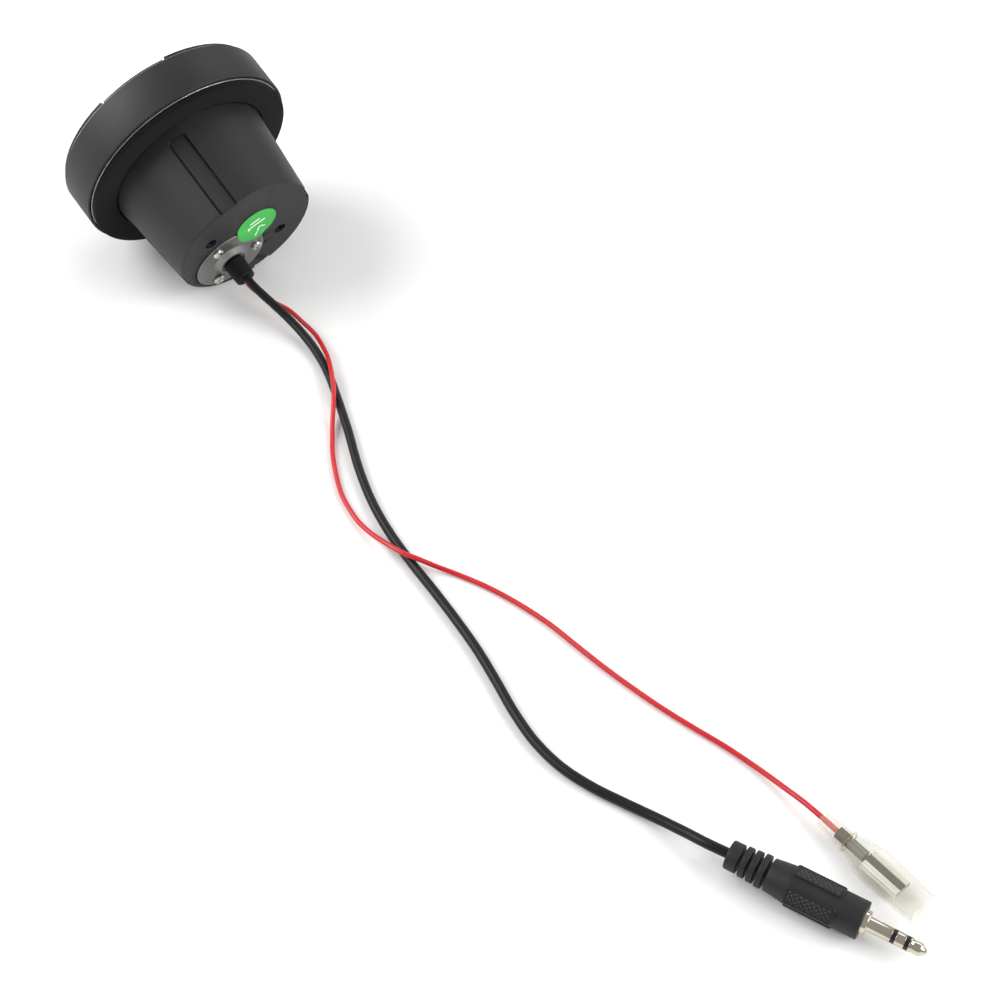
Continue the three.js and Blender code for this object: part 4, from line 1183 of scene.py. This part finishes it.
def rolled_strip(name, middle_line, thick, z0, z1, *materials):
    """Sheet metal bent along an open line of (x, y) and run from z0 to z1."""
    line = np.array(middle_line, float)
    run = np.gradient(line, axis=0)
    normal = np.stack([-run[:, 1], run[:, 0]], 1)
    normal /= np.linalg.norm(normal, axis=1)[:, None]
    outline = np.vstack([line + normal * thick / 2, (line - normal * thick / 2)[::-1]])
    points = [(x, y, z) for z in (z0, z1) for x, y in outline]
    count = len(outline)
    faces = grid_faces(2, count)
    half = count // 2
    for first in (0, count):
        faces += [(first + j, first + j + 1, first + count - 2 - j, first + count - 1 - j) for j in range(half - 1)]
    return new_piece(name, points, faces, terminal_mm, *materials, sharp=50)


def arc(cx, cy, radius, start, end, steps=10):
    """Points round part of a circle, from one angle in degrees to another."""
    return [(cx + x, cy + y) for x, y in (polar(radius, t) for t in np.linspace(start, end, steps))]


half_section = arc(-0.62, 1.5, 0.36, -70, -180) + [(-0.98, 1.9)] + arc(-0.33, 2.04, 0.65, 180, 90)
half_section += arc(0.33, 2.04, 0.7, 90, 0) + [(1.03, 1.2)]
section = half_section + [(x, -y) for x, y in half_section[::-1]]
receptacle = rolled_strip("terminal_receptacle", section, 0.32, 14.4, 25, tinned_steel)
# The spine, the tongue's root, the tongue and the crimp are painted dark for shade: in the seam between the curls and
# under the sleeve
spine = rolled_strip("terminal_spine", [(0.8, -1.15), (0.82, 0), (0.8, 1.15)], 0.3, 7.6, 24.6, shade_painted_tin)
tongue_root = rolled_strip("tongue_root", [(-0.55, -1.3), (-0.5, 0), (-0.55, 1.3)], 0.3, 14.1, 18.2, shade_painted_tin)
tongue = rolled_strip("locking_tongue", [(-0.5, -1.05), (-0.46, 0), (-0.5, 1.05)], 0.28, 18.1, 24.9, shade_painted_tin)
crimp = rolled_strip("insulation_crimp", arc(0, 0, 1.4, 12, 348, 30), 0.3, 5, 8.2, shade_painted_tin)
barrel_section = arc(-0.4, 0.58, 0.58, 230, 90, 8) + arc(0, 0, 1.2, 60, -60, 10)
barrel_section += arc(-0.4, -0.58, 0.58, -90, -230, 8)
barrel = rolled_strip("strand_barrel", barrel_section, 0.3, 8.8, 13.6, grey_barrel)
stands_for(receptacle, "unit", "terminal_metal", "push_on_terminal")
terminal_bits = [receptacle, spine, tongue_root, tongue, crimp, barrel]
for bit in terminal_bits[1:]:
    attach(bit, "unit")

# ---- terminal's sleeve ---------------------------------------------------------------
# Soft vinyl insulating sleeve, dip-moulded in one piece and slid over the terminal. It is
# milky and lets the wire and the metal show through, dimmed by each wall.

# Soft vinyl: ivory and milky, so each skin veils a little of what lies behind it
milky_vinyl = textured(
    "milky soft vinyl", {"IOR": 1.45, "Specular IOR Level": 0.5, "Alpha": 0.11}, ("#d6d1bc", "#e2ddca"),
    grain_mm=0.9, relief_mm=0.006, roughness=(0.3, 0.45),
)
# A skin seen edge on is seen through more vinyl, so it veils more
veil_tree = milky_vinyl.node_tree
edge_on = add_node(veil_tree, "ShaderNodeLayerWeight", inputs={"Blend": 0.5}).outputs["Facing"]
veil = add_node(
    veil_tree,
    "ShaderNodeMapRange",
    inputs={"Value": edge_on, "From Min": 0.4, "From Max": 1.0, "To Min": 0.11, "To Max": 0.42},
)
veil_tree.links.new(veil.outputs["Result"], veil_tree.nodes["Principled BSDF"].inputs["Alpha"])
stations = smooth_route(
    [
        (0, 2, 2), (5, 2.5, 2.3), (9.5, 2.8, 2.5), (12, 3.8, 2.8), (14, 4.6, 2.95), (16.5, 5, 3),
        (21, 4.95, 3), (31, 4.4, 3),
    ],
    steps=6,
) * 1000
sleeve_sides, sleeve_wall = 96, 0.55
around = np.arange(sleeve_sides) * 2 * math.pi / sleeve_sides
squared = lambda v: np.sign(v) * np.abs(v) ** 0.75
sleeve_points = []
for inset, order in ((0, 1), (sleeve_wall, -1)):
    for z, half_width, half_height in stations[::order]:
        high, wide = half_height - inset, half_width - inset
        level = np.full(sleeve_sides, z)
        sleeve_points += list(zip(squared(np.cos(around)) * high, squared(np.sin(around)) * wide, level))
sleeve_faces = grid_faces(2 * len(stations), sleeve_sides, close_rows=True)
sleeve = new_piece("milky_terminal_sleeve", sleeve_points, sleeve_faces, terminal_mm, milky_vinyl, sharp=60)
stands_for(sleeve, "unit", "milky_sleeve", "terminal_sleeve")

# Thin amber ring round the sleeve's neck, 8.4 mm along it, that draws an amber line across the neck
amber_vinyl = textured(
    "amber soft vinyl, line across the neck",
    {"IOR": 1.45, "Specular IOR Level": 0.5, "Alpha": 0.75},
    ("#b08a48", "#c9a35e"),
    grain_mm=0.6, relief_mm=0.004, roughness=(0.3, 0.4),
)
amber_line_z, amber_line_radius, amber_line_sides = 8.4, 0.09, 6
line_width, line_height = (np.interp(amber_line_z, stations[:, 0], stations[:, k]) for k in (1, 2))
line_points = []
for turn in np.arange(amber_line_sides) * math.pi / 3:
    swell = amber_line_radius * math.cos(turn)
    level = np.full(sleeve_sides, amber_line_z + amber_line_radius * math.sin(turn))
    line_points += list(zip(
        squared(np.cos(around)) * (line_height + swell), squared(np.sin(around)) * (line_width + swell), level
    ))
line_faces = grid_faces(amber_line_sides, sleeve_sides, close_rows=True)
amber_line_ring = new_piece("sleeve_flash_line", line_points, line_faces, terminal_mm, amber_vinyl, sharp=80)
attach(amber_line_ring, "unit")

# ---- studio --------------------------------------------------------------------------
# A plain pale floor under large soft lights.
bpy.ops.mesh.primitive_plane_add(size=8, location=(0.1, 0, -0.0002))
floor = bpy.context.object
floor.name = "studio_floor"
floor_finish, _, _ = new_finish("pale studio paper", {"Base Color": linear("#f4f4f4"), "Roughness": 0.9})
floor.data.materials.append(floor_finish)

world = bpy.data.worlds.new("studio light")
world.use_nodes = True
world.node_tree.nodes["Background"].inputs["Color"].default_value = (1, 1, 1, 1)
world.node_tree.nodes["Background"].inputs["Strength"].default_value = 0.43
scene.world = world
scene.view_settings.view_transform = "Standard"


def softbox(name, place, target, width, height, watts):
    light = bpy.data.lights.new(name, "AREA")
    light.shape = "RECTANGLE"
    light.size, light.size_y, light.energy = width, height, watts
    lamp = bpy.data.objects.new(name, light)
    lamp.location = place
    lamp.rotation_euler = (Vector(target) - Vector(place)).to_track_quat("-Z", "Y").to_euler()
    scene.collection.objects.link(lamp)


softbox("left softbox", (-0.62, -0.62, 0.8), (0.05, 0, 0.02), 1.1, 0.8, 15)
softbox("right softbox", (0.95, 0.6, 0.7), (0.12, 0, 0.02), 0.9, 0.7, 12)
softbox("back softbox", (-0.3, 0.8, 0.7), (0.12, 0, 0.02), 0.7, 0.5, 2)
